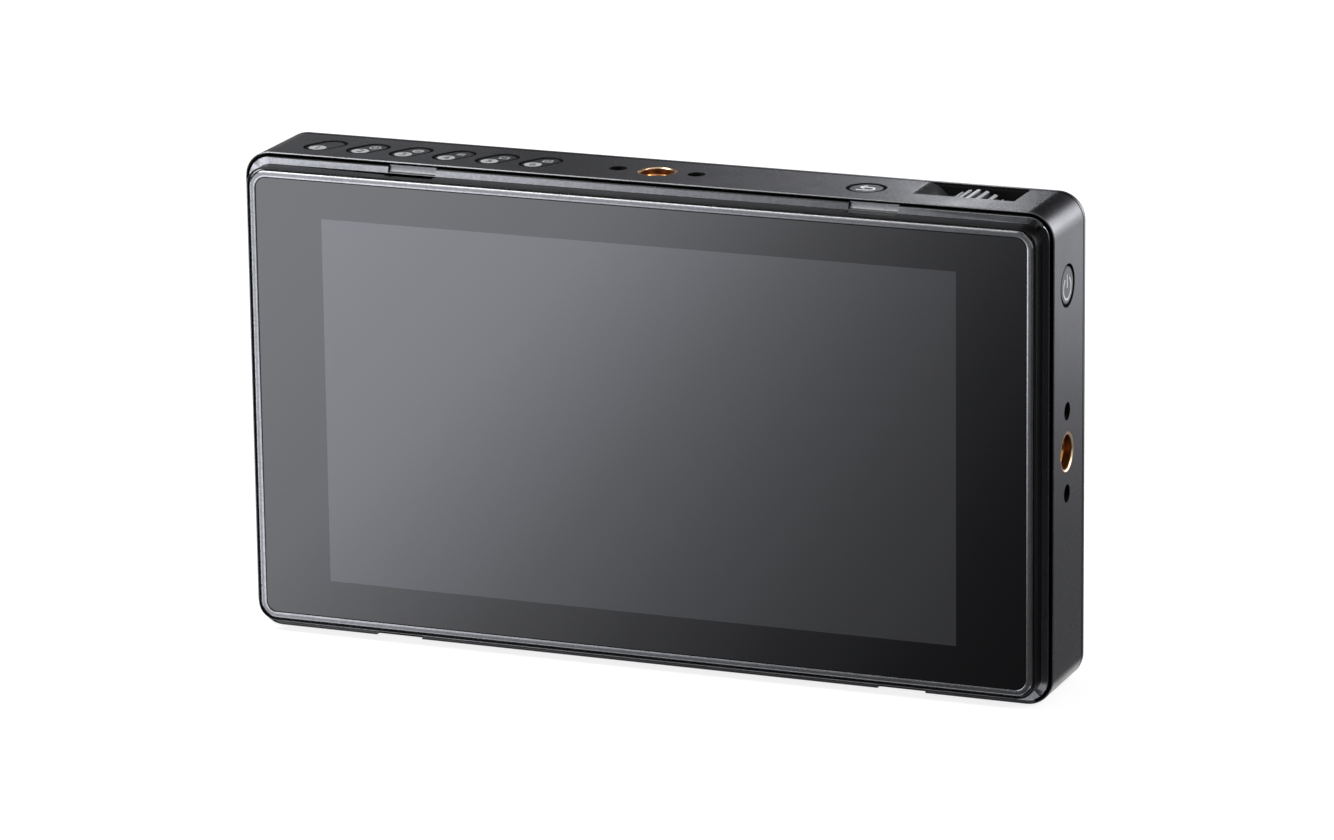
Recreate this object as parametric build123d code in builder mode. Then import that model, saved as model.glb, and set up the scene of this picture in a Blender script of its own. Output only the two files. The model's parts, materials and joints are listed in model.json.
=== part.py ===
"""Compact 5.5 inch camera monitor: a shallow box with a stepped screen surround.

Millimetres. X runs to the right as the viewer sees the screen, Y runs from the screen to the
battery plate, Z is up. The origin is on the base, in the middle of the width and of the depth.
"""

import os
from math import cos, radians, sin

from build123d import *

os.makedirs("parts", exist_ok=True)

# ---------------------------------------------------------------- envelope
ACTIVE_WIDTH = 121.76  # 5.5 inch, 16:9
ACTIVE_HEIGHT = 68.49
BORDER_X = 13.08  # cover glass beside the active area
BORDER_Z = 7.015
GLASS_INSET = 3.74  # glass edge inside the housing's side
BODY_DEPTH = 18.4  # front edge of the housing to the rear cover's face
BODY_R = 5.0  # corners, seen from the front
REAR_EDGE_R = 1.3
WALL = 1.8
FIT = 0.1  # slip clearance between moulded shells
SEAT = 0.05  # clearance of a dropped-in piece

# ---------------------------------------------------------------- screen surround
FRONT_STEP = 4.1  # bezel stands in front of the housing
RING_STEP = 3.8  # bezel to the face of the hood ring
LIP = 0.3  # housing's thin front lip
REVEAL = 0.32  # shadow gap between lip and hood ring
REBATE = 1.2  # depth of the shadow gap
RING_R = 4.3
RING_EDGE = 0.3
BLOCK_INSET = 2.05  # hood seat wall, from the housing's side
BLOCK_R = 3.4
BLOCK_SETBACK = 0.1
BLOCK_EDGE = 0.12
CHANNEL_INSET = 2.3
CHANNEL_R = 3.2
BEZEL_INSET = 2.5
BEZEL_R = 3.1
BEZEL_EDGE = 0.4
BEZEL_FOOT = 0.85  # height of the wider foot under the bezel's groove
GLASS_R = 2.1
GLASS_SETBACK = 0.12
GLASS_THICK = 1.1
GLASS_EDGE = 0.08
TAPE_THICK = 0.25
TAPE_WIDTH = 3.0
FRAME_PLATE = 1.8  # web behind the glass
FRAME_SKIRT = 0.8  # tongue inside the housing, past the rebate
FRAME_WALL = 1.5
PILOT_FLOOR = 0.8  # material left under a screw's pilot hole
LATCH_CUT = 0.6  # depth of the hood latch coves behind the ring's face
LATCH_COVE_R = 1.6
COVE_RUN_OUT = 0.5  # slope where the cove meets the seat of the bezel
TOP_LATCH_EDGE = 33.4  # cove centres from the housing's sides
TOP_LATCH_WIDTH = 9.3
BASE_LATCH_EDGE = 28.6
BASE_LATCH_WIDTH = 9.1

# ---------------------------------------------------------------- display stack
PANEL_MARGIN = 2.1  # cell glass beyond the active area
PANEL_THICK = 1.2
BACKLIGHT_MARGIN = 0.9  # beyond the cell glass
BACKLIGHT_THICK = 2.4
BRACKET_THICK = 0.8
BRACKET_MARGIN = 1.5
DISPLAY_GAP = 0.3  # around the backlight, in the frame's opening
FRAME_SCREW_DZ = 22.0
FRAME_BOSS_R = 2.4
FRAME_BOSS_GAP = 0.4  # boss to the light unit's opening
STANDOFF_R = 2.2
WINDOW_WIDTH = 20.0  # lightening windows of the bracket
WINDOW_HEIGHT = 15.0
WINDOW_PITCH = 30.0
WINDOW_RISE = 4.0

RIBBON_WIDTH = 24.0
RIBBON_THICK = 0.3
RIBBON_X = -24.0
RIBBON_EDGE = 6.0  # slot centre above the bracket's lower edge
RIBBON_RISE = 12.0
RIBBON_STAND = 1.3  # ribbon behind the bracket
RIBBON_SLOT = 3.0
RIBBON_SLOT_SPARE = 1.0

# ---------------------------------------------------------------- rear cover and battery plate
COVER_DEPTH = 2.4  # seam to the rear face
SEAM_GAP = 0.3
SEAM_DEPTH = 0.5
COVER_WALL = 1.8
TONGUE_LENGTH = 1.8
TONGUE_WALL = 1.2
TONGUE_GAP = 1.0  # round the thumb wheel's tub
POST_GAP = 0.4  # tongue's end to the screw posts' joint
COVER_BOSS_R = 2.9
COVER_BOSS_LENGTH = 7.0
COVER_POST_R = 2.5
COVER_SCREW_INSET = 4.6  # screw centres from the housing's sides
SINK_R = 2.1  # counterbores for screw heads
SINK_DEPTH = 1.2
SCREW_R = 0.9
SCREW_HOLE_R = 1.15
HEAD_R = 1.9
HEAD_THICK = 1.0
FRAME_SCREW_LENGTH = 3.4
COVER_SCREW_LENGTH = 8.0
SCREW_END_GAP = 0.3
HIDDEN_SIDES = 6  # inner bosses, pilot holes and screws
COARSE_SIDES = 8  # socket bosses, snap domes and the wheel's fork
HEAD_SIDES = 16  # screw heads and counterbores that show
SMALL_SCREW_R = 0.6
SMALL_HEAD_R = 1.1
SMALL_HEAD_THICK = 0.6
VENT_RISE = 5.0  # vents' middle above mid-height
VENT_PITCH = 3.4
VENT_COUNT = 9
VENT_WIDTH = 1.4
VENT_LENGTH = 22.0
PLATE_WIDTH = 40.0
PLATE_BASE_Z = 5.0
PLATE_THICK = 2.0
PLATE_STAND = 5.6  # rail height above the rear cover
PLATE_R = 2.5
RAIL_WIDTH = 2.3
RAIL_EDGE = 1.0
RAIL_TAB = 1.5  # reach of the hooks over the battery's flange
TAB_THICK = 1.2
TAB_LENGTH = 10.0
TAB_PITCH = 21.0
STOP_HEIGHT = 6.0
STOP_WIDTH = 26.0
RAIL_START = 2.0  # rails' foot above the stop
RAIL_END = 1.5  # rails' top below the plate's top
PLATE_EDGE = 0.4
PLATE_BOSS_R = 2.2
PLATE_BOSS = 1.2
BLADE_X = 8.4
BLADE_WIDTH = 2.6
BLADE_THICK = 0.8
BLADE_REACH = 5.5
BLADE_GAP = 0.05  # slots round the contact blades
BLADE_STAND = 1.2  # blades behind the plate's face
Z_CONTACT_LEG = 8.0
CONTACT_BOARD_SCREW_X = 13.0
CONTACT_BOARD_EDGE = 2.5
CONTACT_BOARD_HEIGHT = 7.0
CONTACT_BOARD_RISE = 1.5  # board's middle above the legs
CONTACT_BOSS_R = 1.6
CONTACT_BOSS = 0.5
CONTACT_SCREW_GRIP = 0.8
RETAINER_POST_X = 11.0
RETAINER_POST_R = 1.9
LATCH_LAND = 1.2  # flange beyond the latch's opening
PLATE_SCREW_X = 12.0
PLATE_SCREW_EDGE = 13.0
LATCH_WIDTH = 13.0
LATCH_HEIGHT = 4.6
LATCH_RISE = 2.4  # catch above the plate's face
LATCH_TIP = 0.3  # flat left at the top of the catch
LATCH_FLANGE = 1.0
LATCH_CLEAR = 0.25
SPRING_SPAN = 14.0
SPRING_RISE = 4.4  # arched height between retainer and latch
SPRING_THICK = 0.25
SPRING_WIDTH = 3.4
RETAINER_THICK = 1.0
RETAINER_HEIGHT = 4.6
RETAINER_SCREW_GRIP = 3.6

# ---------------------------------------------------------------- controls
TOP_ROW_Y = 8.2  # control row on the top, from the housing's front edge
SIDE_ROW_Y = 7.4  # the same on the right side
KEY_COUNT = 6
KEY_FIRST_EDGE = 12.5  # first key's centre from the left side
KEY_PITCH = 8.52
KEY_LENGTH = 8.2
KEY_WIDTH = 4.9
KEY_LEAN = 27.5  # degrees off the depth direction
KEY_GAP = 0.3  # slot around a key
KEY_SINK = 0.1  # key face below the housing
KEY_FLANGE = 0.5  # flange beyond the key's outline
KEY_FLANGE_THICK = 0.9
KEY_TRAVEL = 0.5
KEY_STEM_WIDTH = 2.0
KEY_STEM = 2.4
ROUND_BOARD_HALF = 5.3
FUNCTION_BOARD_END = 3.4  # board beyond the end keys' centres
SMALL_SCREW_GRIP = 2.4
RETURN_EDGE = 37.8  # centre from the right side
RETURN_R = 3.3
POWER_EDGE = 14.6  # centre from the top
POWER_R = 3.55
DOME_R = 2.2
DOME_HEIGHT = 0.5
DOME_SLOPE = 60.0
KEY_BOARD_THICK = 0.8
KEY_BOARD_DEPTH = 11.0
POST_R = 1.3  # posts that carry the key boards
POST_DY = 4.35
KEY_POST_SHIFT = 0.76  # posts step sideways with the leaning keys
ROUND_POST_DX = 3.9
ROUND_POST_DY = 4.2
WHEEL_EDGE = 18.7  # axis from the right side
WHEEL_R = 7.5
WHEEL_FRONT_Y = 7.1  # from the housing's front edge
WHEEL_BACK_GAP = 2.0  # from the seam
WHEEL_RIBS = 28
RIB_HEIGHT = 0.5
RIB_WIDTH = 0.65
WHEEL_SINK = 0.15
WHEEL_CLEAR = 0.45
WHEEL_TRAVEL = 0.5
POCKET_FRONT_Y = 6.7
POCKET_DEPTH = 2.2
POCKET_WALL = 1.2
POCKET_TOP_WIDTH = 19.2
POCKET_FLOOR_WIDTH = 13.4
POCKET_FLOOR_R = 1.0
AXLE_R = 1.2
RUNNING = 0.05  # radial clearance of a turning shaft
CHEEK_THICK = 1.3
CHEEK_GAP = 0.3
CARRIER_WIDTH = 11.0
CARRIER_BASE = 2.0
CHEEK_MARGIN = 1.3  # cheek round the axle
FOOT_WIDTH = 6.0
FOOT_DEPTH = 3.0
FOOT_LENGTH = 5.0
FOOT_CLEAR = 0.05
FOOT_OFFSET = 2.0  # foot behind the main board
ENCODER_WIDTH = 11.0
ENCODER_HEIGHT = 6.0
ENCODER_WALL = 1.5
WELL_SPARE = 0.1
PEG_X = 3.5
PEG_R = 0.6

# ---------------------------------------------------------------- mounting sockets
INSERT_R = 3.8
INSERT_BORE_R = 3.1
INSERT_LENGTH = 7.0
INSERT_FLOOR = 0.8
INSERT_CHAMFER = 0.3
SOCKET_WALL = 1.4
PIN_HOLE_R = 1.65  # anti-twist holes beside each socket
PIN_HOLE_DEPTH = 4.5
PIN_HOLE_PITCH = 15.1
PIN_BOSS_WALL = 1.1

# ---------------------------------------------------------------- electronics
BOARD_GAP = 3.3  # bracket to main board
BOARD_THICK = 1.2
BOARD_SIDE_GAP = 3.7  # board's left edge to the housing's side
BOARD_CLEAR = 2.0  # board to the sockets' bosses
NOTCH_CLEAR = 0.6  # board to the pressed wheel carrier
NOTCH_SIDE = 6.0
BOARD_CORNER = 6.0  # screws from the board's ends
BOARD_SCREW_EDGE = 4.0
BOARD_PORT_SCREW = 18.0  # lower left screw, clear of the sockets
HDMI_RISE = 17.0  # sockets above or below mid-height
USB_RISE = -1.0
PHONES_RISE = -14.0
POWER_IN_RISE = -27.5
HDMI_LENGTH = 15.0
HDMI_THICK = 5.6
HDMI_DEPTH = 11.5
HDMI_SLOPE = 1.6
HDMI_TONGUE = 11.0
HDMI_TONGUE_THICK = 1.0
USB_LENGTH = 9.0
USB_THICK = 3.2
USB_DEPTH = 8.0
USB_TONGUE = 6.4
USB_TONGUE_THICK = 0.7
PHONES_NOSE_R = 2.6
PHONES_BORE_R = 1.75
PHONES_THICK = 5.2
PHONES_WIDTH = 6.4
PHONES_DEPTH = 12.0
POWER_IN_NOSE_R = 3.6
POWER_IN_BORE_R = 2.75
POWER_IN_PIN_R = 0.85
POWER_IN_THICK = 7.2
POWER_IN_WIDTH = 9.0
POWER_IN_DEPTH = 11.0
PORT_BODY = 2.4  # square bodies start behind the wall
PORT_BACK = 2.0  # closed back of a socket
TONGUE_SETBACK = 1.0  # tongues and pin behind the mouths
SHELL = 0.4
PORT_SETBACK = 0.5  # socket mouths behind the left face
PORT_CLEAR = 0.5
HEAT_X = 4.0
CHIP_SIZE = 15.0
CHIP_THICK = 1.4
PAD_THICK = 0.8
SINK_THICK = 1.2
SINK_WIDTH = 56.0
SINK_HEIGHT = 44.0
SINK_SCREW_EDGE = 4.0
SINK_FOOT_R = 1.8

# ---------------------------------------------------------------- derived places
BODY_WIDTH = ACTIVE_WIDTH + 2 * (BORDER_X + GLASS_INSET)
BODY_HEIGHT = ACTIVE_HEIGHT + 2 * (BORDER_Z + GLASS_INSET)
MID_Z = BODY_HEIGHT / 2
HALF_WIDTH = BODY_WIDTH / 2
Y_FACE = -(FRONT_STEP + BODY_DEPTH + PLATE_STAND) / 2
Y_GLASS = Y_FACE + GLASS_SETBACK
Y_LEDGE = Y_GLASS + GLASS_THICK + TAPE_THICK
Y_RING = Y_FACE + RING_STEP
Y_BODY = Y_FACE + FRONT_STEP
Y_REBATE = Y_BODY + REBATE
Y_SKIRT = Y_REBATE + FRAME_SKIRT
Y_PANEL = Y_LEDGE
Y_BACKLIGHT = Y_PANEL + PANEL_THICK
Y_BRACKET = Y_BACKLIGHT + BACKLIGHT_THICK
Y_LUG = Y_BRACKET + BRACKET_THICK
Y_BOARD = Y_LUG + BOARD_GAP
Y_BOARD_BACK = Y_BOARD + BOARD_THICK
Y_REAR = Y_BODY + BODY_DEPTH
Y_SEAM = Y_REAR - COVER_DEPTH
Y_SPLIT = Y_SEAM - TONGUE_LENGTH - POST_GAP
Y_COVER_INNER = Y_REAR - COVER_WALL
Y_PLATE = Y_REAR + PLATE_THICK
Y_RAIL = Y_REAR + PLATE_STAND
Y_TOP_ROW = Y_BODY + TOP_ROW_Y
Y_SIDE_ROW = Y_BODY + SIDE_ROW_Y
RING_INSET = LIP + REVEAL
PANEL_WIDTH = ACTIVE_WIDTH + 2 * PANEL_MARGIN
PANEL_HEIGHT = ACTIVE_HEIGHT + 2 * PANEL_MARGIN
LIGHT_WIDTH = PANEL_WIDTH + 2 * BACKLIGHT_MARGIN
LIGHT_HEIGHT = PANEL_HEIGHT + 2 * BACKLIGHT_MARGIN
FRAME_SCREW_X = LIGHT_WIDTH / 2 + DISPLAY_GAP + FRAME_BOSS_GAP + FRAME_BOSS_R
BRACKET_WIDTH = 2 * (FRAME_SCREW_X + FRAME_BOSS_R)
BRACKET_HEIGHT = LIGHT_HEIGHT + 2 * BRACKET_MARGIN
Z_UNDER_TOP = BODY_HEIGHT - WALL
Z_STEM = Z_UNDER_TOP - SEAT - KEY_FLANGE_THICK - KEY_STEM
Z_KEY_BOARD = Z_STEM - SEAT - KEY_TRAVEL - DOME_HEIGHT
KEY_PLACES = [KEY_FIRST_EDGE - HALF_WIDTH + KEY_PITCH * step for step in range(KEY_COUNT)]
KEY_POSTS = [
    (x + KEY_PITCH / 2 + side * KEY_POST_SHIFT, side * POST_DY)
    for x, side in zip(KEY_PLACES, (1, -1, 1, -1, 1))
]
ROUND_POSTS = [(side * ROUND_POST_DX, -side * ROUND_POST_DY) for side in (-1, 1)]
RETURN_X = HALF_WIDTH - RETURN_EDGE
POWER_Z = BODY_HEIGHT - POWER_EDGE
WHEEL_X = HALF_WIDTH - WHEEL_EDGE
WHEEL_Z = BODY_HEIGHT - WHEEL_SINK - WHEEL_R
WHEEL_CENTRE = [(WHEEL_X, WHEEL_Z - MID_Z)]
Y_WHEEL = Y_BODY + WHEEL_FRONT_Y
Y_WHEEL_BACK = Y_SEAM - WHEEL_BACK_GAP
Y_POCKET = Y_BODY + POCKET_FRONT_Y
Z_CARRIER = WHEEL_Z - WHEEL_R - WHEEL_CLEAR - CARRIER_BASE
Z_GUIDE = Z_CARRIER - WHEEL_TRAVEL - NOTCH_CLEAR
Y_FOOT = Y_BOARD_BACK + FOOT_OFFSET
ENCODER_PEGS = [(WHEEL_X + side * PEG_X, Z_GUIDE - ENCODER_HEIGHT / 2 - MID_Z) for side in (-1, 1)]
SOCKET_DEPTH = INSERT_LENGTH + INSERT_FLOOR
PIN_PLACES = [(-PIN_HOLE_PITCH / 2, 0), (PIN_HOLE_PITCH / 2, 0)]
BOARD_LEFT = BOARD_SIDE_GAP - HALF_WIDTH
BOARD_RIGHT = HALF_WIDTH - SOCKET_DEPTH - BOARD_CLEAR
BOARD_LOW = SOCKET_DEPTH + BOARD_CLEAR
BOARD_HIGH = BODY_HEIGHT - SOCKET_DEPTH - BOARD_CLEAR
BOARD_NOTCH_X = WHEEL_X - CARRIER_WIDTH / 2 - NOTCH_SIDE
LATCH_TOP = BODY_HEIGHT - SOCKET_DEPTH - LATCH_CLEAR
Z_LATCH = LATCH_TOP - LATCH_HEIGHT / 2
PLATE_TOP = LATCH_TOP - LATCH_HEIGHT - LATCH_CLEAR
PLATE_HEIGHT = PLATE_TOP - PLATE_BASE_Z
PLATE_Z = (PLATE_TOP + PLATE_BASE_Z) / 2
Y_LATCH_FLANGE = Y_COVER_INNER - SEAT - LATCH_FLANGE
Y_RETAINER = Y_LATCH_FLANGE - SPRING_RISE
VENT_X = (PLATE_WIDTH / 2 + HALF_WIDTH) / 2
FRAME_SCREWS = [(side * FRAME_SCREW_X, up * FRAME_SCREW_DZ) for side in (-1, 1) for up in (-1, 1)]
COVER_SCREW_X = HALF_WIDTH - COVER_SCREW_INSET
COVER_SCREW_DZ = MID_Z - COVER_SCREW_INSET
COVER_SCREWS = [(side * COVER_SCREW_X, up * COVER_SCREW_DZ) for side in (-1, 1) for up in (-1, 1)]
BOARD_SCREWS = [
    (BOARD_LEFT + BOARD_CORNER, BOARD_HIGH - BOARD_SCREW_EDGE - MID_Z),
    (BOARD_NOTCH_X - BOARD_CORNER, BOARD_HIGH - BOARD_SCREW_EDGE - MID_Z),
    (BOARD_LEFT + BOARD_PORT_SCREW, BOARD_LOW + BOARD_SCREW_EDGE - MID_Z),
    (BOARD_RIGHT - BOARD_CORNER, BOARD_LOW + BOARD_SCREW_EDGE - MID_Z),
]
RIBBON_Z = MID_Z - BRACKET_HEIGHT / 2 + RIBBON_EDGE
PLATE_SCREWS = [
    (side * PLATE_SCREW_X, up * (PLATE_HEIGHT / 2 - PLATE_SCREW_EDGE) + PLATE_Z - MID_Z)
    for side in (-1, 1)
    for up in (-1, 1)
]
Z_CONTACT_BOARD = Z_CONTACT_LEG + CONTACT_BOARD_RISE
CONTACT_SCREWS = [(side * CONTACT_BOARD_SCREW_X, Z_CONTACT_BOARD - MID_Z) for side in (-1, 1)]
RETAINER_SCREWS = [(side * RETAINER_POST_X, Z_LATCH - MID_Z) for side in (-1, 1)]
SINK_SCREW_X = SINK_WIDTH / 2 - SINK_SCREW_EDGE
SINK_SCREW_DZ = SINK_HEIGHT / 2 - SINK_SCREW_EDGE
SINK_SCREWS = [
    (HEAT_X + side * SINK_SCREW_X, up * SINK_SCREW_DZ) for side in (-1, 1) for up in (-1, 1)
]
HDMI_Z = MID_Z + HDMI_RISE
USB_Z = MID_Z + USB_RISE
PHONES_Z = MID_Z + PHONES_RISE
POWER_IN_Z = MID_Z + POWER_IN_RISE
POST_LENGTH = Z_UNDER_TOP - Z_KEY_BOARD
TOP_INSIDE = Plane(origin=(0, Y_TOP_ROW, Z_UNDER_TOP), z_dir=(0, 0, 1))
RETURN_INSIDE = Plane(origin=(RETURN_X, Y_TOP_ROW, Z_UNDER_TOP), z_dir=(0, 0, 1))
POWER_INSIDE = Plane(origin=(HALF_WIDTH - WALL, Y_SIDE_ROW, POWER_Z), x_dir=(0, 1, 0), z_dir=(1, 0, 0))
KEY_BOARD_POSTS = [(TOP_INSIDE, KEY_POSTS), (RETURN_INSIDE, ROUND_POSTS), (POWER_INSIDE, ROUND_POSTS)]


# ---------------------------------------------------------------- planes and shared shapes
def facing(y):
    """Upright plane at depth y: local x to the right, local y up from mid-height, normal forward."""
    return Plane(origin=(0, y, MID_Z), x_dir=(1, 0, 0), z_dir=(0, -1, 0))


def level(z, y=0.0):
    """Level plane at height z: local x to the right, local y towards the back, normal up."""
    return Plane(origin=(0, y, z), x_dir=(1, 0, 0), z_dir=(0, 0, 1))


def right_side(x, y=0.0, z=0.0):
    """Upright plane across X: local x towards the back, local y up, normal to the right."""
    return Plane(origin=(x, y, z), x_dir=(0, 1, 0), z_dir=(1, 0, 0))


def left_side(x, y=0.0, z=0.0):
    """Upright plane across X: local x towards the front, local y up, normal to the left."""
    return Plane(origin=(x, y, z), x_dir=(0, -1, 0), z_dir=(-1, 0, 0))


TOP_MOUTH = level(BODY_HEIGHT, Y_TOP_ROW)
BASE_MOUTH = Plane(origin=(0, Y_TOP_ROW, 0), x_dir=(1, 0, 0), z_dir=(0, 0, -1))
SIDE_MOUTH = Plane(origin=(HALF_WIDTH, Y_SIDE_ROW, MID_Z), x_dir=(0, 0, 1), z_dir=(1, 0, 0))
SOCKET_MOUTHS = [TOP_MOUTH, BASE_MOUTH, SIDE_MOUTH]


def slab(inset, radius, y_front, y_back, mode=Mode.ADD):
    """Rounded rectangle, inset from the housing's sides, between two depths."""
    with BuildSketch(facing(y_front)) as outline:
        RectangleRounded(BODY_WIDTH - 2 * inset, BODY_HEIGHT - 2 * inset, radius)
    extrude(outline.sketch, amount=y_front - y_back, mode=mode)


def block(width, height, y_front, y_back, x=0.0, z=MID_Z, radius=0.0, mode=Mode.ADD):
    """Upright block centred on (x, z), between two depths, with rounded corners if asked."""
    with BuildSketch(facing(y_front)) as outline:
        with Locations((x, z - MID_Z)):
            if radius:
                RectangleRounded(width, height, radius)
            else:
                Rectangle(width, height)
    extrude(outline.sketch, amount=y_front - y_back, mode=mode)


def disc(plane, radius, depth, places=((0, 0),), sides=None, mode=Mode.ADD, taper=0.0):
    """Bosses or holes from a plane against its normal: round, or many-sided where sides says so."""
    with BuildSketch(plane) as outline:
        with Locations(*places):
            if sides:
                RegularPolygon(radius, sides, rotation=180 / sides)
            else:
                Circle(radius)
    extrude(outline.sketch, amount=-depth, taper=taper, mode=mode)


def rounds(places, radius, y_front, y_back, sides=None, mode=Mode.ADD):
    """The same along Y, between two depths, at (x, height from mid-height) places."""
    disc(facing(y_front), radius, y_back - y_front, places, sides, mode)


def key_slot(plane, grow, depth, places, mode=Mode.ADD):
    """Leaning pill outlines of the function keys, grown all round, cut down from a plane."""
    with BuildSketch(plane) as outline:
        with Locations(*[(x, 0) for x in places]):
            SlotOverall(KEY_LENGTH + 2 * grow, KEY_WIDTH + 2 * grow, rotation=90 - KEY_LEAN)
    extrude(outline.sketch, amount=-depth, mode=mode)


# ---------------------------------------------------------------- front frame
def latch_coves(centre_x, width, up):
    """Hood latch coves, a pair: a quarter-round scoop from the ring's face into the seat wall."""

    def at(inset, y):
        return (y, BODY_HEIGHT - inset) if up else (y, inset)

    y_back = Y_RING + LATCH_CUT
    cove_y = y_back - LATCH_COVE_R
    deep = CHANNEL_INSET
    start = deep - LATCH_COVE_R
    mid = LATCH_COVE_R * cos(radians(45))
    with BuildSketch(Plane.YZ) as scoop:
        with BuildLine():
            Line(at(0, y_back), at(start, y_back))
            ThreePointArc(
                at(start, y_back), at(start + mid, cove_y + mid), at(deep, cove_y)
            )
            Polyline(
                at(deep, cove_y),
                at(deep, Y_LEDGE + COVE_RUN_OUT),
                at(BLOCK_INSET, Y_LEDGE),
                at(0, Y_LEDGE),
                at(0, y_back),
            )
        make_face()
    for side in (-1, 1):
        cutter = extrude(scoop.sketch, amount=width / 2, both=True, mode=Mode.PRIVATE)
        add(cutter.moved(Location((side * centre_x, 0, 0))), mode=Mode.SUBTRACT)


with BuildPart() as front_frame:
    slab(RING_INSET, RING_R, Y_RING, Y_REBATE)
    chamfer(front_frame.edges().filter_by(Plane.XZ).group_by(Axis.Y)[0], RING_EDGE)
    slab(BLOCK_INSET, BLOCK_R, Y_FACE + BLOCK_SETBACK, Y_RING)
    chamfer(front_frame.edges().group_by(Axis.Y)[0], BLOCK_EDGE)
    slab(WALL + FIT, BODY_R - WALL, Y_REBATE, Y_SKIRT)
    # seat of the bezel ring and the cover glass
    slab(CHANNEL_INSET, CHANNEL_R, Y_FACE, Y_LEDGE, mode=Mode.SUBTRACT)
    # hollow behind the web, leaving the skirt
    hollow_inset = WALL + FIT + FRAME_WALL
    slab(hollow_inset, BODY_R - hollow_inset, Y_LEDGE + FRAME_PLATE, Y_SKIRT, mode=Mode.SUBTRACT)
    rounds(FRAME_SCREWS, FRAME_BOSS_R, Y_LEDGE + FRAME_PLATE, Y_BRACKET, HIDDEN_SIDES)
    rounds(FRAME_SCREWS, SCREW_R, Y_LEDGE + PILOT_FLOOR, Y_BRACKET, HIDDEN_SIDES, Mode.SUBTRACT)
    block(
        LIGHT_WIDTH + 2 * DISPLAY_GAP,
        LIGHT_HEIGHT + 2 * DISPLAY_GAP,
        Y_FACE,
        Y_SKIRT,
        mode=Mode.SUBTRACT,
    )
    latch_coves(HALF_WIDTH - TOP_LATCH_EDGE, TOP_LATCH_WIDTH, up=True)
    latch_coves(HALF_WIDTH - BASE_LATCH_EDGE, BASE_LATCH_WIDTH, up=False)
front_frame.part.label = "front_frame"
export_step(front_frame.part, "parts/front_frame.step")

with BuildPart() as bezel_ring:
    slab(CHANNEL_INSET + SEAT, CHANNEL_R - SEAT, Y_LEDGE - BEZEL_FOOT, Y_LEDGE)
    slab(BEZEL_INSET, BEZEL_R, Y_FACE, Y_LEDGE - BEZEL_FOOT)
    chamfer(bezel_ring.edges().group_by(Axis.Y)[0], BEZEL_EDGE)
    slab(GLASS_INSET - SEAT, GLASS_R + SEAT, Y_FACE, Y_LEDGE, mode=Mode.SUBTRACT)
bezel_ring.part.label = "bezel_ring"
export_step(bezel_ring.part, "parts/bezel_ring.step")

# ---------------------------------------------------------------- display stack
with BuildPart() as cover_glass:
    slab(GLASS_INSET, GLASS_R, Y_GLASS, Y_GLASS + GLASS_THICK)
    chamfer(cover_glass.edges().group_by(Axis.Y)[0], GLASS_EDGE)
cover_glass.part.label = "cover_glass"
export_step(cover_glass.part, "parts/cover_glass.step")

with BuildPart() as glass_tape:
    slab(GLASS_INSET, GLASS_R, Y_GLASS + GLASS_THICK, Y_LEDGE)
    tape_inset = GLASS_INSET + TAPE_WIDTH
    block(
        BODY_WIDTH - 2 * tape_inset,
        BODY_HEIGHT - 2 * tape_inset,
        Y_GLASS + GLASS_THICK,
        Y_LEDGE,
        mode=Mode.SUBTRACT,
    )
glass_tape.part.label = "glass_tape"
export_step(glass_tape.part, "parts/glass_tape.step")

with BuildPart() as optical_adhesive:
    block(PANEL_WIDTH, PANEL_HEIGHT, Y_GLASS + GLASS_THICK, Y_PANEL)
optical_adhesive.part.label = "optical_adhesive"
export_step(optical_adhesive.part, "parts/optical_adhesive.step")

with BuildPart() as lcd_panel:
    block(PANEL_WIDTH, PANEL_HEIGHT, Y_PANEL, Y_BACKLIGHT)
lcd_panel.part.label = "lcd_panel"
export_step(lcd_panel.part, "parts/lcd_panel.step")

with BuildPart() as backlight:
    block(LIGHT_WIDTH, LIGHT_HEIGHT, Y_BACKLIGHT, Y_BRACKET)
backlight.part.label = "backlight"
export_step(backlight.part, "parts/backlight.step")

with BuildPart() as display_bracket:
    block(BRACKET_WIDTH, BRACKET_HEIGHT, Y_BRACKET, Y_LUG)
    rounds(BOARD_SCREWS, STANDOFF_R, Y_LUG, Y_BOARD, HIDDEN_SIDES)
    rounds(BOARD_SCREWS, SCREW_R, Y_LUG, Y_BOARD, HIDDEN_SIDES, Mode.SUBTRACT)
    rounds(FRAME_SCREWS, SCREW_HOLE_R, Y_BRACKET, Y_LUG, HIDDEN_SIDES, Mode.SUBTRACT)
    block(
        RIBBON_WIDTH + 2 * RIBBON_SLOT_SPARE,
        RIBBON_SLOT,
        Y_BRACKET,
        Y_LUG,
        x=RIBBON_X,
        z=RIBBON_Z,
        mode=Mode.SUBTRACT,
    )
    # lightening windows in two rows
    with BuildSketch(facing(Y_BRACKET)) as windows:
        with Locations((0, WINDOW_RISE)):
            with GridLocations(WINDOW_PITCH, WINDOW_PITCH, 4, 2):
                Rectangle(WINDOW_WIDTH, WINDOW_HEIGHT)
    extrude(windows.sketch, amount=-BRACKET_THICK, mode=Mode.SUBTRACT)
display_bracket.part.label = "display_bracket"
export_step(display_bracket.part, "parts/display_bracket.step")

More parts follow.
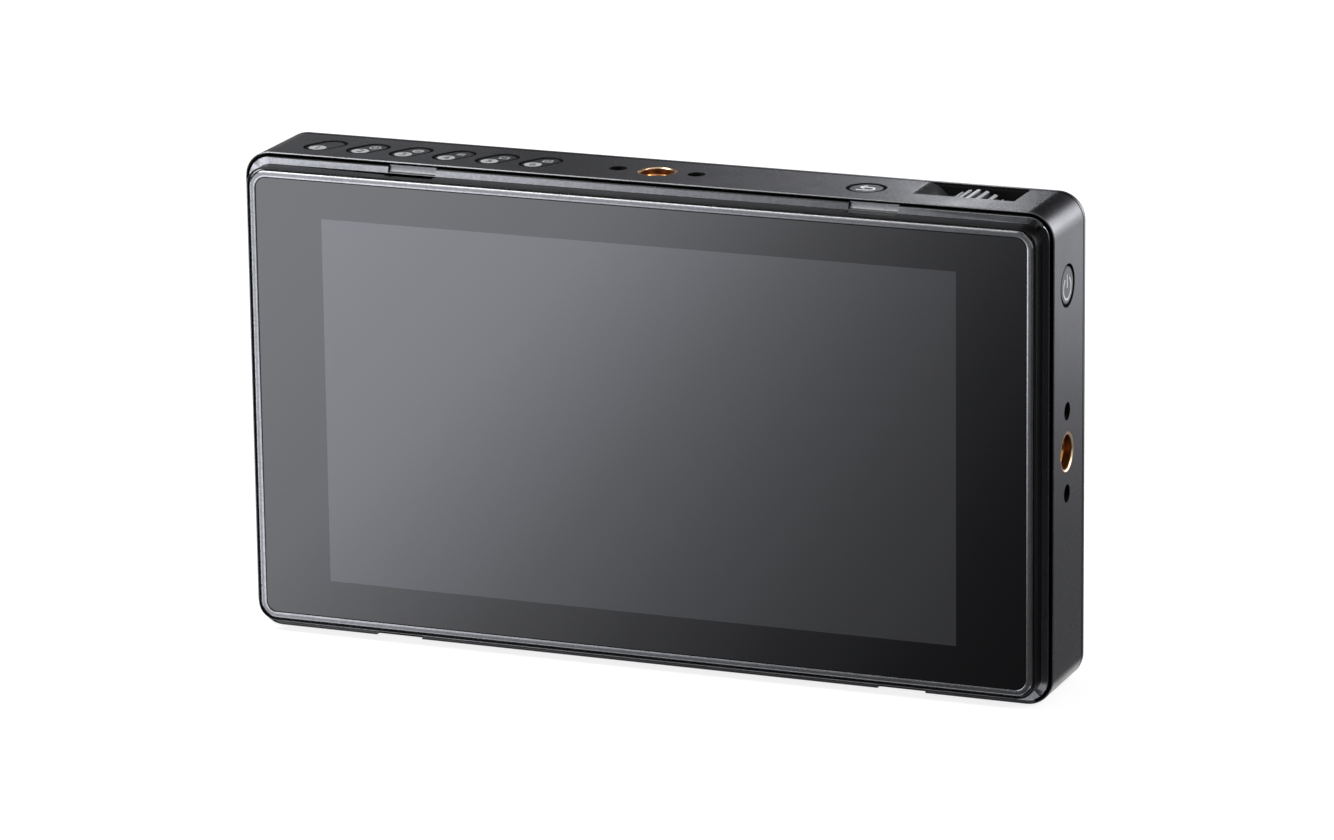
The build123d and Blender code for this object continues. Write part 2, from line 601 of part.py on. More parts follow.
with BuildPart() as display_ribbon:
    # from the light unit out through the slot, then up to its plug on the main board
    with BuildSketch(right_side(RIBBON_X)):
        with BuildLine():
            Polyline(
                (Y_BRACKET, RIBBON_Z),
                (Y_LUG + RIBBON_STAND, RIBBON_Z),
                (Y_LUG + RIBBON_STAND, RIBBON_Z + RIBBON_RISE),
                (Y_BOARD, RIBBON_Z + RIBBON_RISE),
            )
        trace(line_width=RIBBON_THICK)
    extrude(amount=RIBBON_WIDTH / 2, both=True)
display_ribbon.part.label = "display_ribbon"
export_step(display_ribbon.part, "parts/display_ribbon.step")

# ---------------------------------------------------------------- housing
def pocket(grow, y_front, y_back, mode):
    """Scoop for the thumb wheel, or with grow the tub round it: a trough with sloping ends."""
    floor_z = BODY_HEIGHT - POCKET_DEPTH - grow
    top_half = POCKET_TOP_WIDTH / 2 + grow
    floor_half = POCKET_FLOOR_WIDTH / 2 + grow
    with BuildSketch(facing(y_front)) as trough:
        with BuildLine():
            Polyline(
                (WHEEL_X - top_half, MID_Z),
                (WHEEL_X - floor_half, floor_z - MID_Z),
                (WHEEL_X + floor_half, floor_z - MID_Z),
                (WHEEL_X + top_half, MID_Z),
                close=True,
            )
        make_face()
        fillet(trough.vertices().group_by(Axis.Z)[0], POCKET_FLOOR_R)
    extrude(trough.sketch, amount=y_front - y_back, mode=mode)


with BuildPart() as main_housing:
    slab(0, BODY_R, Y_BODY, Y_SEAM)
    chamfer(main_housing.edges().group_by(Axis.Y)[0], LIP / 2)
    slab(LIP, BODY_R - LIP, Y_BODY, Y_REBATE, mode=Mode.SUBTRACT)
    slab(WALL, BODY_R - WALL, Y_REBATE, Y_SEAM, mode=Mode.SUBTRACT)
    # bosses for the cover screws, merging with the walls
    y_boss = Y_SPLIT - COVER_BOSS_LENGTH
    rounds(COVER_SCREWS, COVER_BOSS_R, y_boss, Y_SPLIT, HIDDEN_SIDES)
    rounds(COVER_SCREWS, SCREW_R, y_boss + PILOT_FLOOR, Y_SPLIT, HIDDEN_SIDES, Mode.SUBTRACT)
    # blind bosses behind the mounting sockets and their anti-twist holes
    pin_boss_r = PIN_HOLE_R + PIN_BOSS_WALL
    for mouth in SOCKET_MOUTHS:
        disc(mouth, INSERT_R + SOCKET_WALL, SOCKET_DEPTH, sides=COARSE_SIDES)
        with BuildSketch(mouth) as bar:
            Rectangle(PIN_HOLE_PITCH + 2 * pin_boss_r, 2 * pin_boss_r)
        extrude(bar.sketch, amount=-PIN_HOLE_DEPTH - PIN_BOSS_WALL)
        disc(mouth, INSERT_R, INSERT_LENGTH, mode=Mode.SUBTRACT)
        disc(mouth, PIN_HOLE_R, PIN_HOLE_DEPTH, PIN_PLACES, mode=Mode.SUBTRACT)
    # posts under the top wall and inside the right wall for the key boards
    for inside, places in KEY_BOARD_POSTS:
        disc(inside, POST_R, POST_LENGTH, places, HIDDEN_SIDES)
        pilot = inside.offset(-PILOT_FLOOR)
        disc(pilot, SMALL_SCREW_R, POST_LENGTH - PILOT_FLOOR, places, HIDDEN_SIDES, Mode.SUBTRACT)
    key_slot(level(BODY_HEIGHT, Y_TOP_ROW), KEY_GAP, WALL, KEY_PLACES, mode=Mode.SUBTRACT)
    disc(RETURN_INSIDE.offset(WALL), RETURN_R + KEY_GAP, WALL, mode=Mode.SUBTRACT)
    disc(POWER_INSIDE.offset(WALL), POWER_R + KEY_GAP, WALL, mode=Mode.SUBTRACT)
    # scooped pocket of the thumb wheel, open to the seam, with the wheel's slot in its floor
    pocket(POCKET_WALL, Y_POCKET - POCKET_WALL, Y_SEAM, mode=Mode.ADD)
    pocket(0, Y_POCKET, Y_SEAM, mode=Mode.SUBTRACT)
    rounds(
        WHEEL_CENTRE,
        WHEEL_R + WHEEL_CLEAR,
        Y_POCKET,
        Y_WHEEL_BACK + WHEEL_CLEAR,
        mode=Mode.SUBTRACT,
    )
    # hood latch gaps in the lower lip
    for side in (-1, 1):
        block(
            BASE_LATCH_WIDTH,
            2 * LIP,
            Y_BODY,
            Y_REBATE,
            x=side * (HALF_WIDTH - BASE_LATCH_EDGE),
            z=0,
            mode=Mode.SUBTRACT,
        )
    with BuildSketch(left_side(-HALF_WIDTH)) as ports:
        with Locations((-Y_BOARD_BACK - HDMI_THICK / 2, HDMI_Z)):
            Rectangle(HDMI_THICK + 2 * PORT_CLEAR, HDMI_LENGTH + 2 * PORT_CLEAR)
        with Locations((-Y_BOARD_BACK - USB_THICK / 2, USB_Z)):
            SlotOverall(USB_LENGTH + 2 * PORT_CLEAR, USB_THICK + 2 * PORT_CLEAR, rotation=90)
        with Locations((-Y_BOARD_BACK - PHONES_THICK / 2, PHONES_Z)):
            Circle(PHONES_NOSE_R + PORT_CLEAR)
        with Locations((-Y_BOARD_BACK - POWER_IN_THICK / 2, POWER_IN_Z)):
            Circle(POWER_IN_NOSE_R + PORT_CLEAR)
    extrude(ports.sketch, amount=-WALL, mode=Mode.SUBTRACT)
main_housing.part.label = "main_housing"
export_step(main_housing.part, "parts/main_housing.step")

# ---------------------------------------------------------------- mounting sockets
for name, mouth in zip(("top_socket", "base_socket", "side_socket"), SOCKET_MOUTHS):
    with BuildPart() as socket:
        disc(mouth, INSERT_R, INSERT_LENGTH)
        disc(mouth, INSERT_BORE_R, INSERT_LENGTH - INSERT_FLOOR, mode=Mode.SUBTRACT)
        with BuildSketch(mouth) as lead_in:
            Circle(INSERT_BORE_R + INSERT_CHAMFER)
        extrude(lead_in.sketch, amount=-INSERT_CHAMFER, taper=45, mode=Mode.SUBTRACT)
    socket.part.label = name
    export_step(socket.part, f"parts/{name}.step")

# ---------------------------------------------------------------- keys
key_face_z = BODY_HEIGHT - KEY_SINK
flange_top_z = Z_UNDER_TOP - SEAT


def stem(under):
    """Square stem below a key's flange, over its snap dome."""
    with BuildSketch(under) as square:
        Rectangle(KEY_STEM_WIDTH, KEY_STEM_WIDTH)
    extrude(square.sketch, amount=-KEY_STEM)


for number, key_x in enumerate(KEY_PLACES, start=1):
    with BuildPart() as function_key:
        key_slot(level(key_face_z, Y_TOP_ROW), 0, key_face_z - flange_top_z, [key_x])
        flange = Plane(origin=(key_x, Y_TOP_ROW, flange_top_z), z_dir=(0, 0, 1))
        with BuildSketch(flange) as outline:
            Rectangle(KEY_LENGTH + 2 * KEY_FLANGE, KEY_WIDTH + 2 * KEY_FLANGE, rotation=90 - KEY_LEAN)
        extrude(outline.sketch, amount=-KEY_FLANGE_THICK)
        stem(flange.offset(-KEY_FLANGE_THICK))
    function_key.part.label = f"function_key_{number}"
    export_step(function_key.part, f"parts/function_key_{number}.step")


def round_key(inside, radius):
    """Round push key centred on a plane that lies on the wall's inner face."""
    disc(inside.offset(WALL - KEY_SINK), radius, WALL - KEY_SINK + SEAT)
    disc(inside.offset(-SEAT), radius + KEY_FLANGE, KEY_FLANGE_THICK)
    stem(inside.offset(-SEAT - KEY_FLANGE_THICK))


with BuildPart() as return_key:
    round_key(RETURN_INSIDE, RETURN_R)
return_key.part.label = "return_key"
export_step(return_key.part, "parts/return_key.step")

with BuildPart() as power_key:
    round_key(POWER_INSIDE, POWER_R)
power_key.part.label = "power_key"
export_step(power_key.part, "parts/power_key.step")


def key_board(inside, low, high, posts):
    """Key board on the posts' ends, from low to high along its plane's x."""
    face = inside.offset(-POST_LENGTH)
    with BuildSketch(face) as outline:
        with Locations(((low + high) / 2, 0)):
            Rectangle(high - low, KEY_BOARD_DEPTH)
    extrude(outline.sketch, amount=-KEY_BOARD_THICK)
    disc(face, SMALL_SCREW_R, KEY_BOARD_THICK, posts, HIDDEN_SIDES, Mode.SUBTRACT)


with BuildPart() as function_board:
    board_start = KEY_PLACES[0] - FUNCTION_BOARD_END
    key_board(TOP_INSIDE, board_start, KEY_PLACES[-1] + FUNCTION_BOARD_END, KEY_POSTS)
function_board.part.label = "function_board"
export_step(function_board.part, "parts/function_board.step")

with BuildPart() as return_board:
    key_board(RETURN_INSIDE, -ROUND_BOARD_HALF, ROUND_BOARD_HALF, ROUND_POSTS)
return_board.part.label = "return_board"
export_step(return_board.part, "parts/return_board.step")

with BuildPart() as power_board:
    key_board(POWER_INSIDE, -ROUND_BOARD_HALF, ROUND_BOARD_HALF, ROUND_POSTS)
power_board.part.label = "power_board"
export_step(power_board.part, "parts/power_board.step")

with BuildPart() as key_domes:
    # snap domes on the boards, under the stems
    for inside, places in [
        (TOP_INSIDE, [(x, 0) for x in KEY_PLACES]),
        (RETURN_INSIDE, [(0, 0)]),
        (POWER_INSIDE, [(0, 0)]),
    ]:
        disc(inside.offset(-POST_LENGTH), DOME_R, -DOME_HEIGHT, places, COARSE_SIDES, taper=DOME_SLOPE)
key_domes.part.label = "key_domes"
export_step(key_domes.part, "parts/key_domes.step")

with BuildPart() as key_board_screws:
    shank = KEY_BOARD_THICK + SMALL_SCREW_GRIP
    for inside, places in KEY_BOARD_POSTS:
        under = inside.offset(-POST_LENGTH - KEY_BOARD_THICK)
        disc(under.offset(shank), SMALL_SCREW_R, shank, places, HIDDEN_SIDES)
        disc(under, SMALL_HEAD_R, SMALL_HEAD_THICK, places, HIDDEN_SIDES)
key_board_screws.part.label = "key_board_screws"
export_step(key_board_screws.part, "parts/key_board_screws.step")

# ---------------------------------------------------------------- thumb wheel
with BuildPart() as thumb_wheel:
    wheel_length = Y_WHEEL_BACK - Y_WHEEL
    core_r = WHEEL_R - RIB_HEIGHT
    with BuildSketch(facing(Y_WHEEL)) as section:
        with Locations(*WHEEL_CENTRE):
            Circle(core_r)
            with PolarLocations(core_r, WHEEL_RIBS):
                Rectangle(2 * RIB_HEIGHT, RIB_WIDTH)
            Circle(AXLE_R + RUNNING, mode=Mode.SUBTRACT)
    extrude(section.sketch, amount=-wheel_length)
thumb_wheel.part.label = "thumb_wheel"
export_step(thumb_wheel.part, "parts/thumb_wheel.step")

y_cheek_front = Y_WHEEL - CHEEK_GAP - CHEEK_THICK
y_cheek_back = Y_WHEEL_BACK + CHEEK_GAP + CHEEK_THICK

with BuildPart() as wheel_axle:
    rounds(WHEEL_CENTRE, AXLE_R, y_cheek_front, y_cheek_back)
wheel_axle.part.label = "wheel_axle"
export_step(wheel_axle.part, "parts/wheel_axle.step")

with BuildPart() as wheel_carrier:
    # fork of two cheeks on a base, with a foot that slides in the encoder body
    cheek_r = AXLE_R + CHEEK_MARGIN
    for y_front in (y_cheek_front, y_cheek_back - CHEEK_THICK):
        y_back = y_front + CHEEK_THICK
        rounds(WHEEL_CENTRE, cheek_r, y_front, y_back, COARSE_SIDES)
        block(2 * cheek_r, WHEEL_Z - Z_CARRIER, y_front, y_back, x=WHEEL_X, z=(WHEEL_Z + Z_CARRIER) / 2)
        rounds(WHEEL_CENTRE, AXLE_R, y_front, y_back, mode=Mode.SUBTRACT)
    block(
        CARRIER_WIDTH,
        CARRIER_BASE,
        y_cheek_front,
        y_cheek_back,
        x=WHEEL_X,
        z=Z_CARRIER + CARRIER_BASE / 2,
    )
    block(
        FOOT_WIDTH,
        FOOT_LENGTH,
        Y_FOOT,
        Y_FOOT + FOOT_DEPTH,
        x=WHEEL_X,
        z=Z_CARRIER - FOOT_LENGTH / 2,
    )
wheel_carrier.part.label = "wheel_carrier"
export_step(wheel_carrier.part, "parts/wheel_carrier.step")

with BuildPart() as wheel_encoder:
    # body soldered behind the main board, with a well for the carrier's foot
    block(
        ENCODER_WIDTH,
        ENCODER_HEIGHT,
        Y_BOARD_BACK,
        Y_FOOT + FOOT_DEPTH + ENCODER_WALL,
        x=WHEEL_X,
        z=Z_GUIDE - ENCODER_HEIGHT / 2,
    )
    well_depth = FOOT_LENGTH - NOTCH_CLEAR + WELL_SPARE
    block(
        FOOT_WIDTH + 2 * FOOT_CLEAR,
        well_depth,
        Y_FOOT - FOOT_CLEAR,
        Y_FOOT + FOOT_DEPTH + FOOT_CLEAR,
        x=WHEEL_X,
        z=Z_GUIDE - well_depth / 2,
        mode=Mode.SUBTRACT,
    )
    rounds(ENCODER_PEGS, PEG_R, Y_BOARD, Y_BOARD_BACK, HIDDEN_SIDES)
wheel_encoder.part.label = "wheel_encoder"
export_step(wheel_encoder.part, "parts/wheel_encoder.step")

# ---------------------------------------------------------------- main board and its parts
with BuildPart() as main_board:
    with BuildSketch(facing(Y_BOARD)) as outline:
        with BuildLine():
            Polyline(
                (BOARD_LEFT, BOARD_LOW - MID_Z),
                (BOARD_RIGHT, BOARD_LOW - MID_Z),
                (BOARD_RIGHT, Z_GUIDE - MID_Z),
                (BOARD_NOTCH_X, Z_GUIDE - MID_Z),
                (BOARD_NOTCH_X, BOARD_HIGH - MID_Z),
                (BOARD_LEFT, BOARD_HIGH - MID_Z),
                close=True,
            )
        make_face()
    extrude(outline.sketch, amount=-BOARD_THICK)
    rounds(BOARD_SCREWS, SCREW_HOLE_R, Y_BOARD, Y_BOARD_BACK, HIDDEN_SIDES, Mode.SUBTRACT)
    rounds(ENCODER_PEGS, PEG_R, Y_BOARD, Y_BOARD_BACK, HIDDEN_SIDES, Mode.SUBTRACT)
    rounds(SINK_SCREWS, SMALL_SCREW_R, Y_BOARD, Y_BOARD_BACK, HIDDEN_SIDES, Mode.SUBTRACT)
main_board.part.label = "main_board"
export_step(main_board.part, "parts/main_board.step")

y_chip = Y_BOARD_BACK + CHIP_THICK
y_pad = y_chip + PAD_THICK
y_sink = y_pad + SINK_THICK

with BuildPart() as main_processor:
    block(CHIP_SIZE, CHIP_SIZE, Y_BOARD_BACK, y_chip, x=HEAT_X)
main_processor.part.label = "main_processor"
export_step(main_processor.part, "parts/main_processor.step")

with BuildPart() as thermal_pad:
    block(CHIP_SIZE, CHIP_SIZE, y_chip, y_pad, x=HEAT_X)
thermal_pad.part.label = "thermal_pad"
export_step(thermal_pad.part, "parts/thermal_pad.step")

with BuildPart() as heat_spreader:
    block(SINK_WIDTH, SINK_HEIGHT, y_pad, y_sink, x=HEAT_X)
    rounds(SINK_SCREWS, SINK_FOOT_R, Y_BOARD_BACK, y_pad, HIDDEN_SIDES)
    rounds(SINK_SCREWS, SMALL_SCREW_R, Y_BOARD_BACK, y_sink, HIDDEN_SIDES, Mode.SUBTRACT)
heat_spreader.part.label = "heat_spreader"
export_step(heat_spreader.part, "parts/heat_spreader.step")

with BuildPart() as heat_spreader_screws:
    rounds(SINK_SCREWS, SMALL_SCREW_R, Y_BOARD, y_sink, HIDDEN_SIDES)
    rounds(SINK_SCREWS, SMALL_HEAD_R, y_sink, y_sink + SMALL_HEAD_THICK, HIDDEN_SIDES)
heat_spreader_screws.part.label = "heat_spreader_screws"
export_step(heat_spreader_screws.part, "parts/heat_spreader_screws.step")


# ---------------------------------------------------------------- sockets on the left side
X_MOUTH = PORT_SETBACK - HALF_WIDTH


def port_profile(z, y):
    """Plane of a socket's mouth, local x to the front and local y up, normal out of the left side."""
    return left_side(X_MOUTH, y, z)


def prism(sketch, depth, mode=Mode.ADD):
    """Runs a sketch on a socket's mouth plane into the housing."""
    extrude(sketch, amount=-depth, mode=mode)


def hdmi_outline(plane, inset):
    """Six-sided mouth of the video socket, its long side upright."""
    half_x = HDMI_THICK / 2 - inset
    half_y = HDMI_LENGTH / 2 - inset
    with BuildSketch(plane) as outline:
        with BuildLine():
            Polyline(
                (half_x, -half_y),
                (half_x, half_y),
                (-half_x + HDMI_SLOPE, half_y),
                (-half_x, half_y - HDMI_SLOPE),
                (-half_x, -half_y + HDMI_SLOPE),
                (-half_x + HDMI_SLOPE, -half_y),
                close=True,
            )
        make_face()
    return outline.sketch


with BuildPart() as hdmi_socket:
    mouth = port_profile(HDMI_Z, Y_BOARD_BACK + HDMI_THICK / 2)
    prism(hdmi_outline(mouth, 0), HDMI_DEPTH)
    prism(hdmi_outline(mouth, SHELL), HDMI_DEPTH - PORT_BACK, mode=Mode.SUBTRACT)
    with BuildSketch(mouth.offset(-TONGUE_SETBACK)) as tongue:
        Rectangle(HDMI_TONGUE_THICK, HDMI_TONGUE)
    prism(tongue.sketch, HDMI_DEPTH - TONGUE_SETBACK)
hdmi_socket.part.label = "hdmi_socket"
export_step(hdmi_socket.part, "parts/hdmi_socket.step")

with BuildPart() as usb_socket:
    mouth = port_profile(USB_Z, Y_BOARD_BACK + USB_THICK / 2)
    with BuildSketch(mouth) as shell:
        SlotOverall(USB_LENGTH, USB_THICK, rotation=90)
    prism(shell.sketch, USB_DEPTH)
    with BuildSketch(mouth) as hollow:
        SlotOverall(USB_LENGTH - 2 * SHELL, USB_THICK - 2 * SHELL, rotation=90)
    prism(hollow.sketch, USB_DEPTH - PORT_BACK, mode=Mode.SUBTRACT)
    with BuildSketch(mouth.offset(-TONGUE_SETBACK)) as tongue:
        Rectangle(USB_TONGUE_THICK, USB_TONGUE)
    prism(tongue.sketch, USB_DEPTH - TONGUE_SETBACK)
usb_socket.part.label = "usb_socket"
export_step(usb_socket.part, "parts/usb_socket.step")


def barrel_socket(plane, nose_r, bore_r, width, thick, depth):
    """Socket with a round nose in the wall and a square body on the board."""
    disc(plane, nose_r, depth)
    with BuildSketch(plane.offset(-PORT_BODY)) as body:
        Rectangle(thick, width)
    prism(body.sketch, depth - PORT_BODY)
    disc(plane, bore_r, depth - PORT_BACK, mode=Mode.SUBTRACT)


with BuildPart() as headphone_socket:
    mouth = port_profile(PHONES_Z, Y_BOARD_BACK + PHONES_THICK / 2)
    barrel_socket(mouth, PHONES_NOSE_R, PHONES_BORE_R, PHONES_WIDTH, PHONES_THICK, PHONES_DEPTH)
headphone_socket.part.label = "headphone_socket"
export_step(headphone_socket.part, "parts/headphone_socket.step")

with BuildPart() as power_socket:
    mouth = port_profile(POWER_IN_Z, Y_BOARD_BACK + POWER_IN_THICK / 2)
    barrel_socket(
        mouth, POWER_IN_NOSE_R, POWER_IN_BORE_R, POWER_IN_WIDTH, POWER_IN_THICK, POWER_IN_DEPTH
    )
    pin_length = POWER_IN_DEPTH - TONGUE_SETBACK
    disc(mouth.offset(-TONGUE_SETBACK), POWER_IN_PIN_R, pin_length, sides=HEAD_SIDES)
power_socket.part.label = "power_socket"
export_step(power_socket.part, "parts/power_socket.step")


# ---------------------------------------------------------------- rear cover
def contact_legs(grow, y_front, y_back, mode=Mode.ADD):
    """Level legs of the three battery contacts, through cover and plate to their board."""
    for contact_x in (-BLADE_X, 0, BLADE_X):
        block(
            BLADE_WIDTH + 2 * grow,
            BLADE_THICK + 2 * grow,
            y_front,
            y_back,
            x=contact_x,
            z=Z_CONTACT_LEG,
            mode=mode,
        )


with BuildPart() as rear_cover:
    slab(0, BODY_R, Y_SEAM + SEAM_GAP, Y_REAR)
    fillet(rear_cover.edges().group_by(Axis.Y)[-1], REAR_EDGE_R)
    slab(SEAM_DEPTH, BODY_R - SEAM_DEPTH, Y_SEAM, Y_SEAM + SEAM_GAP)
    tongue_inset = WALL + FIT
    slab(tongue_inset, BODY_R - tongue_inset, Y_SEAM - TONGUE_LENGTH, Y_SEAM)
    inner_inset = tongue_inset + TONGUE_WALL
    slab(inner_inset, BODY_R - inner_inset, Y_SEAM - TONGUE_LENGTH, Y_COVER_INNER, mode=Mode.SUBTRACT)
    # gap in the tongue for the thumb wheel's tub
    block(
        POCKET_TOP_WIDTH + 2 * (POCKET_WALL + TONGUE_GAP),
        2 * (POCKET_DEPTH + POCKET_WALL + TONGUE_GAP),
        Y_SEAM - TONGUE_LENGTH,
        Y_SEAM,
        x=WHEEL_X,
        z=BODY_HEIGHT,
        mode=Mode.SUBTRACT,
    )
    # screw posts that meet the housing's bosses
    rounds(COVER_SCREWS, COVER_POST_R, Y_SPLIT, Y_COVER_INNER, HIDDEN_SIDES)
    rounds(COVER_SCREWS, SCREW_HOLE_R, Y_SPLIT, Y_REAR, HIDDEN_SIDES, Mode.SUBTRACT)
    rounds(COVER_SCREWS, SINK_R, Y_REAR - SINK_DEPTH, Y_REAR, HEAD_SIDES, Mode.SUBTRACT)
    y_plate_boss = Y_COVER_INNER - PLATE_BOSS
    rounds(PLATE_SCREWS, PLATE_BOSS_R, y_plate_boss, Y_COVER_INNER, HIDDEN_SIDES)
    rounds(PLATE_SCREWS, SCREW_R, y_plate_boss, Y_REAR, HIDDEN_SIDES, Mode.SUBTRACT)
    y_contact_boss = Y_COVER_INNER - CONTACT_BOSS
    y_contact_pilot = Y_COVER_INNER + CONTACT_SCREW_GRIP
    rounds(CONTACT_SCREWS, CONTACT_BOSS_R, y_contact_boss, Y_COVER_INNER, HIDDEN_SIDES)
    rounds(CONTACT_SCREWS, SMALL_SCREW_R, y_contact_boss, y_contact_pilot, HIDDEN_SIDES, Mode.SUBTRACT)
    rounds(RETAINER_SCREWS, RETAINER_POST_R, Y_RETAINER, Y_COVER_INNER, HIDDEN_SIDES)
    rounds(RETAINER_SCREWS, SCREW_R, Y_RETAINER, Y_COVER_INNER, HIDDEN_SIDES, Mode.SUBTRACT)
    block(
        LATCH_WIDTH + 2 * LATCH_CLEAR,
        LATCH_HEIGHT + 2 * LATCH_CLEAR,
        Y_COVER_INNER,
        Y_REAR,
        z=Z_LATCH,
        mode=Mode.SUBTRACT,
    )
    contact_legs(BLADE_GAP, Y_COVER_INNER, Y_REAR, mode=Mode.SUBTRACT)
    for side in (-1, 1):
        with BuildSketch(facing(Y_COVER_INNER)) as vents:
            with Locations((side * VENT_X, VENT_RISE)):
                with GridLocations(VENT_PITCH, 0, VENT_COUNT, 1):
                    Rectangle(VENT_WIDTH, VENT_LENGTH)
        extrude(vents.sketch, amount=-COVER_WALL, mode=Mode.SUBTRACT)
rear_cover.part.label = "rear_cover"
export_step(rear_cover.part, "parts/rear_cover.step")

# ---------------------------------------------------------------- battery plate
rail_x = PLATE_WIDTH / 2 - RAIL_EDGE - RAIL_WIDTH / 2
rail_low = PLATE_BASE_Z + STOP_HEIGHT + RAIL_START
rail_length = PLATE_TOP - RAIL_END - rail_low
rail_z = rail_low + rail_length / 2
y_blade = Y_PLATE + BLADE_STAND

with BuildPart() as battery_plate:
    block(PLATE_WIDTH, PLATE_HEIGHT, Y_REAR, Y_PLATE, z=PLATE_Z, radius=PLATE_R)
    chamfer(battery_plate.edges().group_by(Axis.Y)[-1], PLATE_EDGE)
    for side in (-1, 1):
        block(RAIL_WIDTH, rail_length, Y_PLATE, Y_RAIL, x=side * rail_x, z=rail_z)
        # three hooks to a rail, facing inward over the battery's flange
        hook_x = side * (rail_x - RAIL_WIDTH / 2 - RAIL_TAB / 2)
        for step in (-1, 0, 1):
            block(
                RAIL_TAB,
                TAB_LENGTH,
                Y_RAIL - TAB_THICK,
                Y_RAIL,
                x=hook_x,
                z=rail_z + step * TAB_PITCH,
            )
    # stop at the foot of the slide, which carries the contacts
    block(STOP_WIDTH, STOP_HEIGHT, Y_PLATE, Y_RAIL, z=PLATE_BASE_Z + STOP_HEIGHT / 2)
    contact_legs(BLADE_GAP, Y_REAR, y_blade + BLADE_THICK + BLADE_GAP, mode=Mode.SUBTRACT)
    for contact_x in (-BLADE_X, 0, BLADE_X):
        block(
            BLADE_WIDTH + 2 * BLADE_GAP,
            PLATE_BASE_Z + STOP_HEIGHT - Z_CONTACT_LEG,
            y_blade - BLADE_GAP,
            y_blade + BLADE_THICK + BLADE_GAP,
            x=contact_x,
            z=(PLATE_BASE_Z + STOP_HEIGHT + Z_CONTACT_LEG) / 2,
            mode=Mode.SUBTRACT,
        )
    rounds(PLATE_SCREWS, SCREW_HOLE_R, Y_REAR, Y_PLATE, HIDDEN_SIDES, Mode.SUBTRACT)
    rounds(PLATE_SCREWS, SINK_R, Y_PLATE - SINK_DEPTH, Y_PLATE, HEAD_SIDES, Mode.SUBTRACT)
battery_plate.part.label = "battery_plate"
export_step(battery_plate.part, "parts/battery_plate.step")

y_contact_board = Y_COVER_INNER - CONTACT_BOSS - KEY_BOARD_THICK
y_contact_face = y_contact_board + KEY_BOARD_THICK

with BuildPart() as battery_contacts:
    blade_top = PLATE_BASE_Z + STOP_HEIGHT + BLADE_REACH
    contact_legs(0, y_contact_face, y_blade + BLADE_THICK)
    for contact_x in (-BLADE_X, 0, BLADE_X):
        block(
            BLADE_WIDTH,
            blade_top - Z_CONTACT_LEG,
            y_blade,
            y_blade + BLADE_THICK,
            x=contact_x,
            z=(blade_top + Z_CONTACT_LEG) / 2,
        )
battery_contacts.part.label = "battery_contacts"
export_step(battery_contacts.part, "parts/battery_contacts.step")

with BuildPart() as battery_board:
    contact_board_width = 2 * (CONTACT_BOARD_SCREW_X + CONTACT_BOARD_EDGE)
    block(contact_board_width, CONTACT_BOARD_HEIGHT, y_contact_board, y_contact_face, z=Z_CONTACT_BOARD)
    rounds(CONTACT_SCREWS, SMALL_SCREW_R, y_contact_board, y_contact_face, HIDDEN_SIDES, Mode.SUBTRACT)
battery_board.part.label = "battery_board"
export_step(battery_board.part, "parts/battery_board.step")

# ---------------------------------------------------------------- battery latch
with BuildPart() as battery_latch:
    block(LATCH_WIDTH, LATCH_HEIGHT, Y_LATCH_FLANGE + LATCH_FLANGE, Y_PLATE + LATCH_RISE, z=Z_LATCH)
    # ramp that the sliding battery presses down
    upper = battery_latch.edges().group_by(Axis.Y)[-1].group_by(Axis.Z)[-1]
    chamfer(upper, LATCH_RISE - LATCH_TIP)
    block(
        LATCH_WIDTH + 2 * LATCH_LAND,
        LATCH_HEIGHT + LATCH_LAND,
        Y_LATCH_FLANGE,
        Y_LATCH_FLANGE + LATCH_FLANGE,
        z=Z_LATCH - LATCH_LAND / 2,
    )
battery_latch.part.label = "battery_latch"
export_step(battery_latch.part, "parts/battery_latch.step")

with BuildPart() as latch_spring:
    # arched strip: its feet on the retainer, its crown against the latch
    with BuildSketch(level(Z_LATCH)) as arch:
        with BuildLine():
            foot = SPRING_SPAN / 2
            heel = foot - SPRING_THICK
            ThreePointArc((-foot, Y_RETAINER), (0, Y_LATCH_FLANGE), (foot, Y_RETAINER))
            Line((foot, Y_RETAINER), (heel, Y_RETAINER))
            ThreePointArc((heel, Y_RETAINER), (0, Y_LATCH_FLANGE - SPRING_THICK), (-heel, Y_RETAINER))
            Line((-heel, Y_RETAINER), (-foot, Y_RETAINER))
        make_face()
    extrude(arch.sketch, amount=SPRING_WIDTH / 2, both=True)
latch_spring.part.label = "latch_spring"
export_step(latch_spring.part, "parts/latch_spring.step")

with BuildPart() as latch_retainer:
    retainer_width = 2 * (RETAINER_POST_X + RETAINER_POST_R)
    y_strap = Y_RETAINER - RETAINER_THICK
    block(retainer_width, RETAINER_HEIGHT, y_strap, Y_RETAINER, z=Z_LATCH)
    rounds(RETAINER_SCREWS, SCREW_HOLE_R, y_strap, Y_RETAINER, HIDDEN_SIDES, Mode.SUBTRACT)
latch_retainer.part.label = "latch_retainer"
export_step(latch_retainer.part, "parts/latch_retainer.step")

# ---------------------------------------------------------------- screws, each kind in one group
with BuildPart() as frame_screws:
    rounds(FRAME_SCREWS, SCREW_R, Y_LUG - FRAME_SCREW_LENGTH, Y_LUG, HIDDEN_SIDES)
    rounds(FRAME_SCREWS, HEAD_R, Y_LUG, Y_LUG + HEAD_THICK, HIDDEN_SIDES)
frame_screws.part.label = "frame_screws"
export_step(frame_screws.part, "parts/frame_screws.step")

